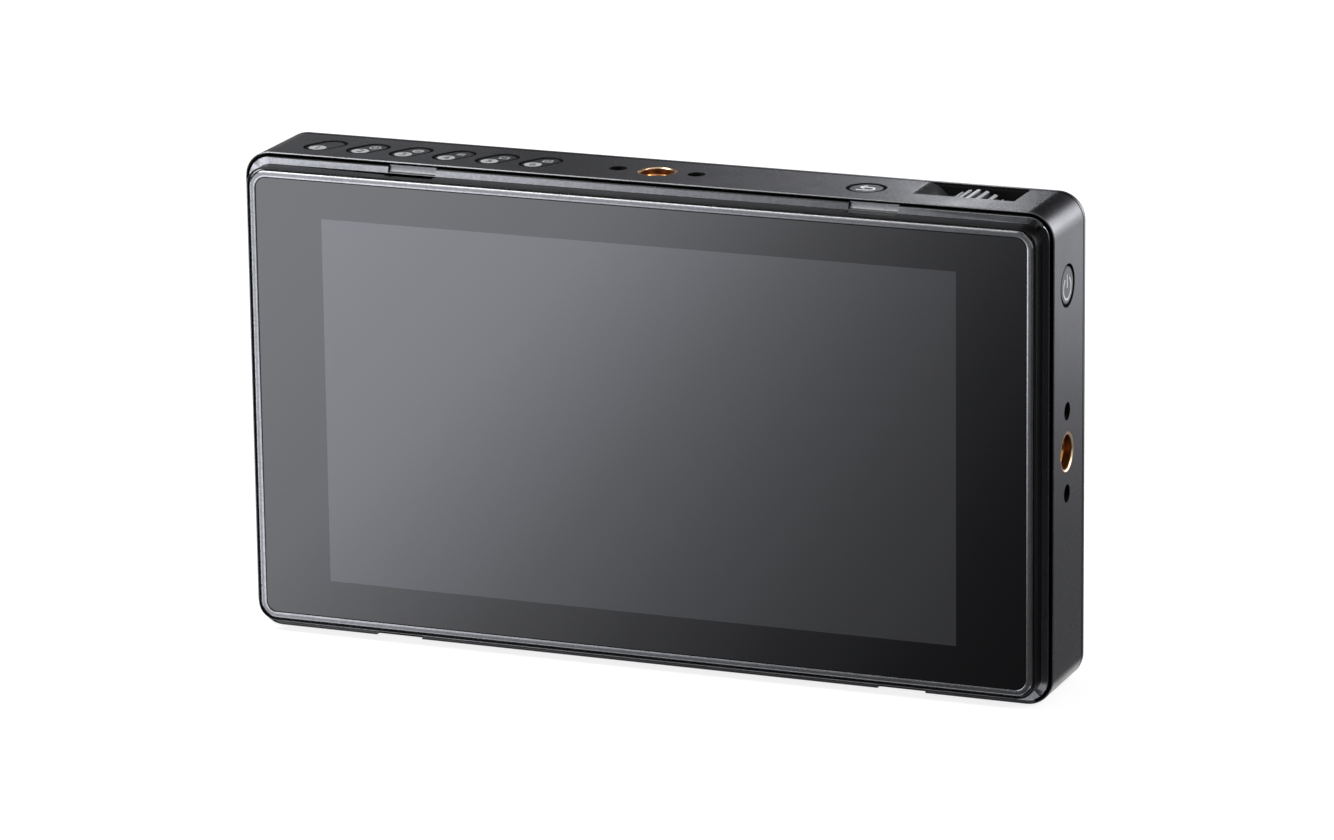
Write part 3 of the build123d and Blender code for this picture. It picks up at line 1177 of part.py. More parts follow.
with BuildPart() as board_screws:
    rounds(BOARD_SCREWS, SCREW_R, Y_LUG + SCREW_END_GAP, Y_BOARD_BACK, HIDDEN_SIDES)
    rounds(BOARD_SCREWS, HEAD_R, Y_BOARD_BACK, Y_BOARD_BACK + HEAD_THICK, HIDDEN_SIDES)
board_screws.part.label = "board_screws"
export_step(board_screws.part, "parts/board_screws.step")

with BuildPart() as cover_screws:
    y_seat = Y_REAR - SINK_DEPTH
    rounds(COVER_SCREWS, SCREW_R, y_seat - COVER_SCREW_LENGTH, y_seat, HIDDEN_SIDES)
    rounds(COVER_SCREWS, HEAD_R, y_seat, y_seat + HEAD_THICK, HEAD_SIDES)
cover_screws.part.label = "cover_screws"
export_step(cover_screws.part, "parts/cover_screws.step")

with BuildPart() as plate_screws:
    y_seat = Y_PLATE - SINK_DEPTH
    rounds(PLATE_SCREWS, SCREW_R, y_plate_boss + SCREW_END_GAP, y_seat, HIDDEN_SIDES)
    rounds(PLATE_SCREWS, HEAD_R, y_seat, y_seat + HEAD_THICK, HEAD_SIDES)
plate_screws.part.label = "plate_screws"
export_step(plate_screws.part, "parts/plate_screws.step")

with BuildPart() as battery_board_screws:
    y_tip = y_contact_pilot - SCREW_END_GAP
    rounds(CONTACT_SCREWS, SMALL_SCREW_R, y_contact_board, y_tip, HIDDEN_SIDES)
    y_head = y_contact_board - SMALL_HEAD_THICK
    rounds(CONTACT_SCREWS, SMALL_HEAD_R, y_head, y_contact_board, HIDDEN_SIDES)
battery_board_screws.part.label = "battery_board_screws"
export_step(battery_board_screws.part, "parts/battery_board_screws.step")

with BuildPart() as retainer_screws:
    rounds(RETAINER_SCREWS, SCREW_R, y_strap, Y_RETAINER + RETAINER_SCREW_GRIP, HIDDEN_SIDES)
    rounds(RETAINER_SCREWS, HEAD_R, y_strap - HEAD_THICK, y_strap, HIDDEN_SIDES)
retainer_screws.part.label = "retainer_screws"
export_step(retainer_screws.part, "parts/retainer_screws.step")
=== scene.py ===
"""Looks of the compact camera monitor: finishes, fine pieces, studio light and camera."""
import json
from math import copysign, cos, hypot, pi, radians, sin, sqrt

import bmesh
import bpy
from mathutils import Matrix, Vector


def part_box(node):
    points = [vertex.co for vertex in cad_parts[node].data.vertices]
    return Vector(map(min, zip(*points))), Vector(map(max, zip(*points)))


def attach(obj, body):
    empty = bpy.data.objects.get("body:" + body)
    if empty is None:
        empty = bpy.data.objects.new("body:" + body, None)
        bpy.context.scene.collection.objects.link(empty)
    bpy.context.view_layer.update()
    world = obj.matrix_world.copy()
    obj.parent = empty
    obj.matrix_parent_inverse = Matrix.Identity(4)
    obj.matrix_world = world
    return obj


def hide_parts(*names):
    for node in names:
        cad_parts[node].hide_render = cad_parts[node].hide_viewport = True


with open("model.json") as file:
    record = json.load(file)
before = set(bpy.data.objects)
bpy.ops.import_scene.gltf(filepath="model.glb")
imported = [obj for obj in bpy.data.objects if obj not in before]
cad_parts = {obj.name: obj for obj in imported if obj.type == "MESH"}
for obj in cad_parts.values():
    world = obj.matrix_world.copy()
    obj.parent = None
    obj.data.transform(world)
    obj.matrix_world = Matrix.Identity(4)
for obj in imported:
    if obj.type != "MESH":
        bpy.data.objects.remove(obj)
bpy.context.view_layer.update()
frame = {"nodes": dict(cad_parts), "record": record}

MM = 0.001
nodes = frame["nodes"]
BODIES = frame["record"]["behaviour"]["bodies"]
BODY_OF = {node_name: body for body, members in BODIES.items() for node_name in members}
SLOT_OF = {part["node"]: part["material_slot"] for part in frame["record"]["subparts"]}

# Places and sizes on the monitor, in millimetres.
HALF_BODY, MID_HEIGHT, BODY_ROUND = 77.7, 45.0, 5.0  # half width, middle height, corner radius
TOP_FACE = 90.0
TOP_LINE = -1.75  # y of the socket, pin holes and return key on the top
SIDE_LINE = -2.55  # y of the socket, pin holes and power key on the right side
RETURN_X = 39.9
POWER_Z = 75.4
PIN_OFFSET = 7.55  # from a socket's middle to its pin holes
PIN_REACH = 1.75
KEY_TOP = 89.90  # the top keys' faces
POWER_FACE = 77.60  # the power key's face
WHEEL_X = 59.0
SEAM_Y = 6.05  # where the housing ends and the groove before the rear cover starts
BEZEL_FRONT = -14.05
BLOCK_Y = -13.9  # just behind the front of the block that carries the bezel ring
HALF_BLOCK = 42.95  # half height of that block
RING_FACE_Y, RING_RIM_Y = -10.25, -9.95  # the frame's ring face and the foot of its chamfer
ACTIVE_WIDTH, ACTIVE_HEIGHT = 121.76, 68.49  # picture area of the panel


def middle_of(node_name):
    """Centre of a CAD node's box, in millimetres."""
    low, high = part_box(node_name)
    return [(a + b) / 2 / MM for a, b in zip(low, high)]


# ---------------------------------------------------------------- finishes
class Finish:
    """A procedural material under construction, with short calls for its nodes."""

    def __init__(self, name):
        self.material = bpy.data.materials.new(name)
        self.material.use_nodes = True
        self.tree = self.material.node_tree
        self.shader = self.tree.nodes["Principled BSDF"]
        self.place = None

    def node(self, kind, **values):
        made = self.tree.nodes.new(kind)
        for key, value in values.items():
            setattr(made, key, value)
        return made

    def link(self, source, target):
        self.tree.links.new(source, target)

    def position(self):
        if self.place is None:
            self.place = self.node("ShaderNodeTexCoord").outputs["Object"]
        return self.place

    def noise(self, size_mm, detail=2.0, roughness=0.5):
        """Noise whose features are about size_mm across."""
        made = self.node("ShaderNodeTexNoise")
        made.inputs["Scale"].default_value = 1.0 / (size_mm * MM)
        made.inputs["Detail"].default_value = detail
        made.inputs["Roughness"].default_value = roughness
        self.link(self.position(), made.inputs["Vector"])
        return made.outputs["Fac"]

    def ramp(self, source, *stops):
        """Smooth run of greys or colours; each stop is (place, value)."""
        made = self.node("ShaderNodeValToRGB")
        band = made.color_ramp
        while len(band.elements) < len(stops):
            band.elements.new(0.5)
        for element, (place, value) in zip(band.elements, stops):
            element.position = place
            colour = value if isinstance(value, tuple) else (value, value, value)
            element.color = (*colour, 1)
        self.link(source, made.inputs["Fac"])
        return made.outputs["Color"]

    def maths(self, operation, first, second, third=None):
        made = self.node("ShaderNodeMath", operation=operation)
        for socket, value in zip(made.inputs, (first, second, third)):
            if isinstance(value, (int, float)):
                socket.default_value = value
            elif value is not None:
                self.link(value, socket)
        return made.outputs["Value"]

    def axes(self):
        """Object x, y and z in metres."""
        split = self.node("ShaderNodeSeparateXYZ")
        self.link(self.position(), split.inputs["Vector"])
        return split.outputs["X"], split.outputs["Y"], split.outputs["Z"]

    def set(self, **values):
        """Sets sockets of the shader itself, such as metallic=1.0."""
        for key, value in values.items():
            socket = key.replace("_", " ").title().replace("Ior", "IOR")
            self.shader.inputs[socket].default_value = value

    def run(self, source, stops):
        """Ramp along a length in metres; each stop is (place, value)."""
        start, end = stops[0][0], stops[-1][0]
        scale = self.maths("MULTIPLY_ADD", source, 1 / (end - start), -start / (end - start))
        return self.ramp(scale, *[((at - start) / (end - start), value) for at, value in stops])

    def bump(self, height, strength, distance_mm):
        made = self.node("ShaderNodeBump")
        made.inputs["Strength"].default_value = strength
        made.inputs["Distance"].default_value = distance_mm * MM
        self.link(height, made.inputs["Height"])
        self.link(made.outputs["Normal"], self.shader.inputs["Normal"])


CLOUD_SIZE = 7.0  # of the slow changes in a coat's sheen


def grained(
    name, colour, roughness, grain_mm, strength, distance_mm, spread=0.05, speckle=0.12, **more
):
    """Coated, moulded or plated surface: fine grain and speckle, slow cloudiness in its sheen."""
    finish = Finish(name)
    low = tuple(c * (1 - speckle) for c in colour)
    high = tuple(min(1.0, c * (1 + speckle)) for c in colour)
    shade = finish.ramp(finish.noise(grain_mm * 1.7, 3.0), (0.35, low), (0.65, high))
    finish.link(shade, finish.shader.inputs["Base Color"])
    dull, shiny = (0.7, roughness + spread), (0.3, roughness - spread)
    cloud = finish.ramp(finish.noise(CLOUD_SIZE, 3.0), shiny, dull)
    finish.link(cloud, finish.shader.inputs["Roughness"])
    finish.set(**more)
    finish.bump(finish.noise(grain_mm, 2.0, 0.6), strength, distance_mm)
    return finish.material


body_coat = grained("body_coat", (0.013, 0.0133, 0.015), 0.26, 0.36, 0.6, 0.03, 0.03, 0.45)
# Lighter edge finish of the body: a painted highlight on its broken corners and thin lips.
body_edge_highlight = grained("body_edge_highlight", (0.10, 0.101, 0.106), 0.27, 0.3, 0.2, 0.008, metallic=0.7)
ring_coat = grained("ring_coat", (0.155, 0.156, 0.16), 0.2, 0.3, 0.12, 0.008, 0.02, metallic=1.0)
# Lighter edge finish of the frame's ring: a painted highlight.
ring_edge_highlight = grained("ring_edge_highlight", (0.17, 0.171, 0.175), 0.26, 0.3, 0.1, 0.006, metallic=1.0)
# Near black with little sheen: painted shade on the front frame's walls beside its lighter ring
# face.
frame_painted_shade = grained(
    "frame_painted_shade", (0.003, 0.003, 0.0034), 0.34, 0.3, 0.15, 0.008, 0.02, specular_ior_level=0.14
)
cove_coat = grained("cove_coat", (0.16, 0.161, 0.165), 0.46, 0.3, 0.15, 0.008, 0.02, metallic=1.0)
bezel_coat = grained("bezel_coat", (0.11, 0.111, 0.115), 0.25, 0.3, 0.1, 0.005, 0.02, metallic=0.6)
# Lighter edge finish of the bezel ring: a painted highlight.
bezel_edge_highlight = grained("bezel_edge_highlight", (0.21, 0.212, 0.217), 0.24, 0.3, 0.1, 0.006, metallic=0.8)
key_skin = grained("key_skin", (0.014, 0.0143, 0.016), 0.27, 0.36, 0.5, 0.025, 0.03, 0.45)
# Black rim on the keys' tops: painted shade that outlines each key.
key_rim_shade = grained(
    "key_rim_shade", (0.003, 0.003, 0.003), 0.35, 0.3, 0.2, 0.008, specular_ior_level=0.15
)
black_plastic = grained("black_plastic", (0.012, 0.012, 0.013), 0.45, 0.2, 0.25, 0.01)
# Near black with little sheen: painted shade for recesses, grooves, gaps and the glass's edge.
painted_shade_black = grained(
    "painted_shade_black", (0.0015, 0.0015, 0.0016), 0.7, 0.3, 0.2, 0.01, specular_ior_level=0.15
)
screw_black = grained("screw_black", (0.035, 0.035, 0.037), 0.33, 0.12, 0.15, 0.006, metallic=0.8)
steel = grained("steel", (0.50, 0.50, 0.52), 0.27, 0.12, 0.12, 0.005, metallic=1.0)
brass = grained("turned_brass", (0.55, 0.27, 0.095), 0.24, 0.3, 0.1, 0.006, metallic=1.0)
# Dark brown brass deeper in the bores is painted shade; the light brass of the rims is a painted
# highlight.
brass_painted_shade = grained("brass_painted_shade", (0.17, 0.062, 0.020), 0.35, 0.3, 0.1, 0.006, metallic=0.8)
brass_rim_highlight = grained("brass_rim_highlight", (0.86, 0.66, 0.46), 0.30, 0.3, 0.1, 0.006, metallic=1.0)
gold = grained("gold_plate", (0.90, 0.62, 0.25), 0.2, 0.2, 0.08, 0.004, metallic=1.0)
board_green = grained("board_green", (0.010, 0.070, 0.035), 0.35, 0.5, 0.12, 0.01)
aluminium = grained("aluminium", (0.60, 0.61, 0.63), 0.35, 0.2, 0.12, 0.006, metallic=1.0)
white_ink = grained("white_ink", (0.80, 0.81, 0.83), 0.5, 0.12, 0.15, 0.004)
badge_ink = grained("badge_ink", (0.40, 0.405, 0.42), 0.5, 0.12, 0.15, 0.004)
black_ink = grained("black_ink", (0.020, 0.020, 0.022), 0.5, 0.12, 0.15, 0.004)
pad_grey = grained("pad_grey", (0.20, 0.21, 0.23), 0.7, 0.3, 0.3, 0.02)
ribbon_amber = grained("ribbon_amber", (0.35, 0.14, 0.02), 0.35, 0.4, 0.1, 0.01)
tape_black = grained("tape_black", (0.015, 0.015, 0.016), 0.6, 0.25, 0.3, 0.01)
panel_film = grained("panel_film", (0.050, 0.052, 0.058), 0.3, 0.3, 0.1, 0.005)
light_box = grained("light_box", (0.55, 0.56, 0.58), 0.4, 0.4, 0.1, 0.008)


RIB_HEIGHT = 0.5  # of the thumb wheel


def wheel_skin():
    """Thumb wheel: grooves painted dark as shade, the tops of its ribs painted light as a
    highlight.
    """
    finish = Finish("wheel_skin")
    low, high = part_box("thumb_wheel")
    offset = finish.node("ShaderNodeVectorMath", operation="SUBTRACT")
    finish.link(finish.position(), offset.inputs[0])
    offset.inputs[1].default_value = [value * MM for value in middle_of("thumb_wheel")]
    flat = finish.node("ShaderNodeVectorMath", operation="MULTIPLY")
    finish.link(offset.outputs["Vector"], flat.inputs[0])
    flat.inputs[1].default_value = (1, 0, 1)
    reach = finish.node("ShaderNodeVectorMath", operation="LENGTH")
    finish.link(flat.outputs["Vector"], reach.inputs[0])
    outer = (high[0] - low[0]) / 2
    rise = finish.node("ShaderNodeMapRange")
    rise.inputs["From Min"].default_value = outer - RIB_HEIGHT * MM
    rise.inputs["From Max"].default_value = outer
    finish.link(reach.outputs["Value"], rise.inputs["Value"])
    # Dark grooves are painted shade; the light rib tops are a painted highlight.
    groove, rib_top_highlight = (0.012, 0.012, 0.013), (0.42, 0.425, 0.445)
    shade = finish.ramp(rise.outputs["Result"], (0.3, groove), (0.85, rib_top_highlight))
    finish.link(shade, finish.shader.inputs["Base Color"])
    sheen = finish.ramp(finish.noise(3.0), (0.3, 0.3), (0.7, 0.4))
    finish.link(sheen, finish.shader.inputs["Roughness"])
    finish.bump(finish.noise(0.15), 0.3, 0.01)
    return finish.material


PANEL_MIRROR = 0.36  # share of metallic sheen that the switched-off panel shows
BORDER_SHADE, PANEL_SHADE = (0.0030, 0.0031, 0.0036), (0.069, 0.070, 0.074)


def screen_glass():
    """Cover glass printed black on its back, with the switched-off panel as a lighter rectangle."""
    finish = Finish("screen_glass")
    x, _, z = finish.axes()
    centre = middle_of("lcd_panel")
    wide = finish.maths("COMPARE", x, centre[0] * MM, ACTIVE_WIDTH / 2 * MM)
    tall = finish.maths("COMPARE", z, centre[2] * MM, ACTIVE_HEIGHT / 2 * MM)
    window = finish.maths("MULTIPLY", wide, tall)
    shade = finish.ramp(window, (0.0, BORDER_SHADE), (1.0, PANEL_SHADE))
    finish.link(shade, finish.shader.inputs["Base Color"])
    mirror = finish.maths("MULTIPLY", window, PANEL_MIRROR)
    finish.link(mirror, finish.shader.inputs["Metallic"])
    polish = finish.ramp(finish.noise(25.0, 3.0), (0.3, 0.085), (0.7, 0.11))
    finish.link(polish, finish.shader.inputs["Roughness"])
    return finish.material


SLOT_FINISH = {
    "body_black": body_coat,
    "ring_black": ring_coat,
    "bezel_black": bezel_coat,
    "screen_glass": screen_glass(),
    "adhesive": tape_black,
    "clear_adhesive": panel_film,
    "panel": panel_film,
    "light_unit": light_box,
    "ribbon": ribbon_amber,
    "key_black": key_skin,
    "wheel_black": wheel_skin(),
    "fork_black": black_plastic,
    "port_black": black_plastic,
    "chip": tape_black,
    "pad_grey": pad_grey,
    "socket_brass": brass,
    "contact_gold": gold,
    "screw_black": screw_black,
    "board_green": board_green,
    "sink_aluminium": aluminium,
    "sheet_steel": steel,
    "dome_steel": steel,
    "steel_pin": steel,
    "spring_steel": steel,
    "port_steel": steel,
}
# Finishes of the broken edges and thin lips: the lighter ones are painted highlights, the black
# ones painted shade.
EDGE_LIGHT_AND_SHADE = {
    "body_black": body_edge_highlight,
    "ring_black": ring_edge_highlight,
    "bezel_black": bezel_edge_highlight,
    "key_black": key_rim_shade,
    "socket_brass": brass_rim_highlight,
    "screen_glass": painted_shade_black,
}
for node_name, slot_name in SLOT_OF.items():
    mesh = nodes[node_name].data
    mesh.materials.clear()
    mesh.materials.append(SLOT_FINISH[slot_name])


# ---------------------------------------------------------------- finished shapes
PAINTED_EDGE, INNER = 1, 2  # material places of the edge finish, painted lighter as a highlight or black as shade, and of the first painted inside, mostly painted shade
WELD = 0.002  # corners of a node's loose triangles closer than this are one
FLAT = radians(0.5)  # faces closer in slope than this become one
SHARP_CORNER = radians(32)
THIN_FACE = 0.4  # lips and chamfers narrower than this take the edge finish, painted bright as a highlight
MOUTH_CHAMFER = 0.25  # round the key openings, painted black as shade


def bevel(build, edges, width, segments=1, clamp=False):
    """Bevels edges evenly, width in the mesh's own unit, and returns the new faces."""
    made = bmesh.ops.bevel(
        build,
        geom=edges,
        offset=width,
        offset_type="OFFSET",
        affect="EDGES",
        segments=segments,
        profile=0.5,
        material=-1,
        clamp_overlap=clamp,
    )
    return made["faces"]


def new_verts(made):
    """Corners that an extrusion made."""
    return [item for item in made["geom"] if isinstance(item, bmesh.types.BMVert)]


def add_piece(name, build, materials, body, smooth_angle=33.0):
    """Turns a bmesh into a piece that rides on a body, smooth across soft bends."""
    mesh = bpy.data.meshes.new(name)
    build.to_mesh(mesh)
    build.free()
    for material in materials:
        mesh.materials.append(material)
    mesh.shade_smooth()
    mesh.set_sharp_from_angle(angle=radians(smooth_angle))
    piece = bpy.data.objects.new(name, mesh)
    bpy.context.scene.collection.objects.link(piece)
    flats = piece.modifiers.new("flat faces stay flat", "WEIGHTED_NORMAL")
    flats.keep_sharp = True
    flats.weight = 100
    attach(piece, body)
    return piece


def is_corner(edge):
    return len(edge.link_faces) == 2 and edge.calc_face_angle(0.0) > SHARP_CORNER


def paint_faces(build, inner, thin_get_highlight):
    """Paints thin faces with the edge finish, a painted highlight, and gives each face that an
    inner test names its own finish.
    """
    for face in build.faces:
        thin = face.calc_area() / max(edge.calc_length() for edge in face.edges)
        if thin_get_highlight and thin < THIN_FACE * MM:
            face.material_index = PAINTED_EDGE
        for place, (_, test) in enumerate(inner, INNER):
            if test(face.calc_center_median() / MM, face.normal):
                face.material_index = place


def softened(
    node_name, edge_mm=0.1, inner=(), wanted_edge=None, reshape=None, segments=2, mouths=None
):
    """Stands in for a CAD node with the same shape, its corners broken and its bends smooth.

    inner lists (material, test) for painted insides, most of them painted shade, reshape moves
    corners of the copy first, and mouths tests for edges that get the wider chamfer, painted black
    as shade. Broken corners take the edge finish, a painted highlight or painted shade.
    """
    build = bmesh.new()
    build.from_mesh(nodes[node_name].data)
    bmesh.ops.remove_doubles(build, verts=build.verts, dist=WELD * MM)
    if reshape:
        reshape(build)
    bmesh.ops.dissolve_limit(build, angle_limit=FLAT, verts=build.verts, edges=build.edges)
    slot = SLOT_OF[node_name]
    finish = SLOT_FINISH[slot]
    materials = [finish, EDGE_LIGHT_AND_SHADE.get(slot, finish)] + [material for material, _ in inner]
    paint_faces(build, inner, thin_get_highlight=wanted_edge is None)
    done = set()
    if mouths:
        rims = [edge for edge in build.edges if mouths(edge)]
        for face in bevel(build, rims, MOUTH_CHAMFER * MM, clamp=True):
            face.material_index = INNER
            done.update(face.edges)
    if edge_mm:
        corners = [
            edge
            for edge in build.edges
            if is_corner(edge) and (wanted_edge is None or wanted_edge(edge)) and edge not in done
        ]
        # Broken corners take the edge finish, painted lighter as a highlight or black as shade.
        for face in bevel(build, corners, edge_mm * MM, segments, clamp=True):
            round_it = {near.material_index for edge in face.edges for near in edge.link_faces}
            face.material_index = max(*round_it, PAINTED_EDGE)
    piece = add_piece("soft_" + node_name, build, materials, BODY_OF[node_name])
    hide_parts(node_name)
    return piece


def within(first, second, reach):
    return first**2 + second**2 < reach**2


def beyond_corner(x, z):
    """How far out a place lies from the centre of the body's nearest corner arc, on both axes."""
    return abs(x) - HALF_BODY + BODY_ROUND, abs(z - MID_HEIGHT) - MID_HEIGHT + BODY_ROUND


def inset(x, z):
    """Distance in from the body's rounded outline, seen from the front."""
    across, upright = beyond_corner(x, z)
    beyond = sqrt(max(across, 0.0) ** 2 + max(upright, 0.0) ** 2)
    return BODY_ROUND - beyond - min(max(across, upright), 0.0)


def in_openings(centre, normal):
    """Walls of the key openings, pin holes, wheel slot and frame groove, painted black as shade."""
    x, y, z = centre
    top_wall = abs(normal.z) < 0.5 and z > TOP_FACE - 2.5
    row = top_wall and -71.0 < x < -16.0 and -7.8 < y < 4.3
    return_hole = top_wall and within(x - RETURN_X, y - TOP_LINE, 4.2)
    side_wall = abs(normal.x) < 0.5 and x > HALF_BODY - 2.7
    power_hole = side_wall and within(y - SIDE_LINE, z - POWER_Z, 4.2)
    pins = within(abs(x) - PIN_OFFSET, y - TOP_LINE, PIN_REACH)
    pins = pins and (85.0 < z < TOP_FACE - 0.01 or 0.01 < z < 5.0)
    side_pins = within(y - SIDE_LINE, abs(z - MID_HEIGHT) - PIN_OFFSET, PIN_REACH)
    side_pins = side_pins and 72.0 < x < HALF_BODY - 0.01
    wheel_slot = 60.0 < z < 87.6 and abs(x - WHEEL_X) < 9.0
    groove = y < -7.0 and inset(x, z) > 0.2
    seam = abs(y - SEAM_Y) < 0.02 and normal.y > 0.9
    return (
        row or return_hole or power_hole or pins or side_pins or wheel_slot or groove or seam
    )


def in_seam(centre, normal):
    """The rear cover's walls of the groove between it and the housing, painted black as shade."""
    return centre.y < SEAM_Y + 0.32 and (inset(centre.x, centre.z) < 0.6 or normal.y < -0.9)


def key_mouths(edge):
    """Rims of the key openings, which are chamfered and painted black as shade."""
    x, y, z = (edge.verts[0].co + edge.verts[1].co) / 2 / MM
    if not is_corner(edge):
        return False
    row = z > TOP_FACE - 0.02 and -71.0 < x < -16.9 and -8.0 < y < 4.5
    return_hole = z > TOP_FACE - 0.02 and within(x - RETURN_X, y - TOP_LINE, 4.5)
    power_hole = x > HALF_BODY - 0.02 and within(y - SIDE_LINE, z - POWER_Z, 4.5)
    return row or return_hole or power_hole


def dark_of_frame(centre, normal):
    """All of the front frame but its ring face, painted near black as shade."""
    x, y, z = centre
    return not (y < RING_RIM_Y + 0.02 and 0.61 < inset(x, z) < 1.93 and normal.y < -0.3)


def in_coves(centre, normal):
    """Walls and rounded floors of the four latch coves."""
    x, y, z = centre
    top = abs(abs(x) - COVE_TOP_X) < COVE_REACH and 87.6 < z < 89.5
    base = abs(abs(x) - COVE_BASE_X) < COVE_REACH and 0.5 < z < 2.4
    block_wall = abs(abs(z - MID_HEIGHT) - HALF_BLOCK) < 0.02 and abs(normal.z) > 0.999
    return (top or base) and -12.6 < y < -9.3 and abs(normal.x) < 0.5 and not block_wall


def black_of_block(centre, normal):
    """Front rim of the block, painted black as the shade of the bezel ring."""
    return centre.y < BLOCK_Y and normal.y < -0.5


def bezel_sides(centre, normal):
    """Inner and outer walls of the bezel ring, painted black as shade."""
    return abs(normal.y) < 0.3 and centre.y > BLOCK_Y


def near_axis(y, z, reach):
    """Test for faces within reach of a line along x."""
    return lambda centre, normal: within(centre.y - y, centre.z - z, reach)


def top_rim(edge):
    return all(vert.co.z / MM > KEY_TOP - 0.01 for vert in edge.verts)


def power_rim(edge):
    return all(vert.co.x / MM > POWER_FACE - 0.01 for vert in edge.verts)


def open_scoop(build):
    """Gives the wheel's pocket its long sloping ends."""
    for vert in build.verts:
        x, y, z = vert.co / MM
        if not (z > TOP_FACE - 2.15 and -3.3 < y < 6.1):
            continue
        drop = (TOP_FACE - z) / POCKET_DROP
        if 51.3 < x < 52.6:
            vert.co.x = (SCOOP_LEFT + (POCKET_LEFT - SCOOP_LEFT) * sqrt(max(drop, 0.0))) * MM
        elif 65.4 < x < 66.7:
            vert.co.x = (SCOOP_RIGHT + (POCKET_RIGHT - SCOOP_RIGHT) * drop) * MM


def lean_ring(build):
    """Leans the frame's ring face back, so that it looks slightly outwards, and frees its rim."""
    for vert in build.verts:
        x, y, z = vert.co / MM
        inner_loop = abs(x) < 75.9 and abs(z - MID_HEIGHT) < 43.2
        if abs(y - RING_FACE_Y) < 0.02 and inner_loop:
            vert.co.y -= RING_LEAN * MM
        if abs(y - RING_RIM_Y) < 0.02 and 0.5 < inset(x, z) < 0.7:
            across, upright = (max(part, 0.0) for part in beyond_corner(x, z))
            reach = hypot(across, upright)
            vert.co.x -= copysign(RIM_GAP * across / reach, x) * MM
            vert.co.z -= copysign(RIM_GAP * upright / reach, z - MID_HEIGHT) * MM


def on_bezel_lip(edge):
    """Front edge of the bezel ring's opening."""
    return is_corner(edge) and all(
        vert.co.y / MM < BEZEL_FRONT + 0.05 and inset(*vert.co.xz / MM) > 3.3 for vert in edge.verts
    )


def slope_bezel(build):
    """Cuts a shallow slope along the bezel ring's inner edge and flattens its outer chamfer, and
    paints both lighter as highlights.
    """
    lip = [edge for edge in build.edges if on_bezel_lip(edge)]
    sloped = bevel(build, lip, SLOPE_WIDTH * MM)
    chamfer = [
        face
        for face in build.faces
        if -0.8 < face.normal.y < -0.6 and face.calc_center_median().y < (BEZEL_FRONT + 0.35) * MM
    ]
    for face in chamfer + sloped:
        face.material_index = PAINTED_EDGE
    for vert in build.verts:
        depth = vert.co.y / MM - BEZEL_FRONT
        if abs(depth - SLOPE_WIDTH) < 0.02:
            vert.co.y -= (SLOPE_WIDTH - SLOPE_DROP) * MM
        elif abs(depth - BEZEL_CHAMFER) < 0.03 and inset(*vert.co.xz / MM) < 2.7:
            vert.co.y -= CHAMFER_FLATTENS * MM


POCKET_DROP = 2.2  # depth of the wheel's pocket
POCKET_LEFT, POCKET_RIGHT = 52.64, 65.36  # ends of its floor
SCOOP_LEFT, SCOOP_RIGHT = 48.6, 68.0  # its ends at the top face
COVE_TOP_X, COVE_BASE_X, COVE_REACH = 44.3, 49.1, 4.8  # middles and half width of the latch coves
RING_LEAN, RIM_GAP = 0.3, 0.12  # of the frame's ring face
SLOPE_WIDTH, SLOPE_DROP = 0.3, 0.1  # along the bezel ring's inner edge
BEZEL_CHAMFER, CHAMFER_FLATTENS = 0.4, 0.2  # round its outer edge
KEY_RIM, BORE_RIM = 0.4, 0.12  # rounding of the keys, painted black as shade, and of the brass sockets, painted light as a highlight
SOFT_EDGES = {
    # The cover glass's broken edge takes black, a painted shade line round the glass.
    "cover_glass": 0.28,
    "battery_plate": 0.12,
    "battery_latch": 0.15,
    "battery_contacts": 0.05,
    "thumb_wheel": 0.08,
    "headphone_socket": 0.1,
    "usb_socket": 0.06,
}
for node_name, edge_mm in SOFT_EDGES.items():
    softened(node_name, edge_mm)
openings = [(painted_shade_black, in_openings)]
softened("main_housing", inner=openings, reshape=open_scoop, mouths=key_mouths)
softened("rear_cover", 0.08, inner=[(painted_shade_black, in_seam)])
shades = [(frame_painted_shade, dark_of_frame), (cove_coat, in_coves), (painted_shade_black, black_of_block)]
softened("front_frame", 0.05, inner=shades, reshape=lean_ring)
for number in range(1, 7):
    softened(f"function_key_{number}", KEY_RIM, wanted_edge=top_rim, segments=4)
# Each socket's bore is painted darker brass below its mouth, a painted shade.
BORES = {
    "top_socket": lambda centre, normal: centre.z < TOP_FACE - 1.0,
    "base_socket": lambda centre, normal: centre.z > 1.0,
    "side_socket": lambda centre, normal: centre.x < HALF_BODY - 0.8,
}
for node_name, bore in BORES.items():
    softened(node_name, BORE_RIM, inner=[(brass_painted_shade, bore)])
softened("bezel_ring", 0, inner=[(painted_shade_black, bezel_sides)], reshape=slope_bezel)
softened("return_key", KEY_RIM, wanted_edge=top_rim, segments=4)
softened("power_key", KEY_RIM, wanted_edge=power_rim, segments=4)


# ---------------------------------------------------------------- fine pieces
THREAD_PITCH = 1.27  # quarter inch thread
THREAD_TURNS = 4.3
THREAD_STEPS = 30  # to a turn
THREAD_START = 1.35
THREAD_ROOT, THREAD_CREST = 3.14, 2.62
RIDGE = [(THREAD_ROOT, 0.55), (THREAD_CREST, 0.08), (THREAD_CREST, -0.08), (THREAD_ROOT, -0.55)]


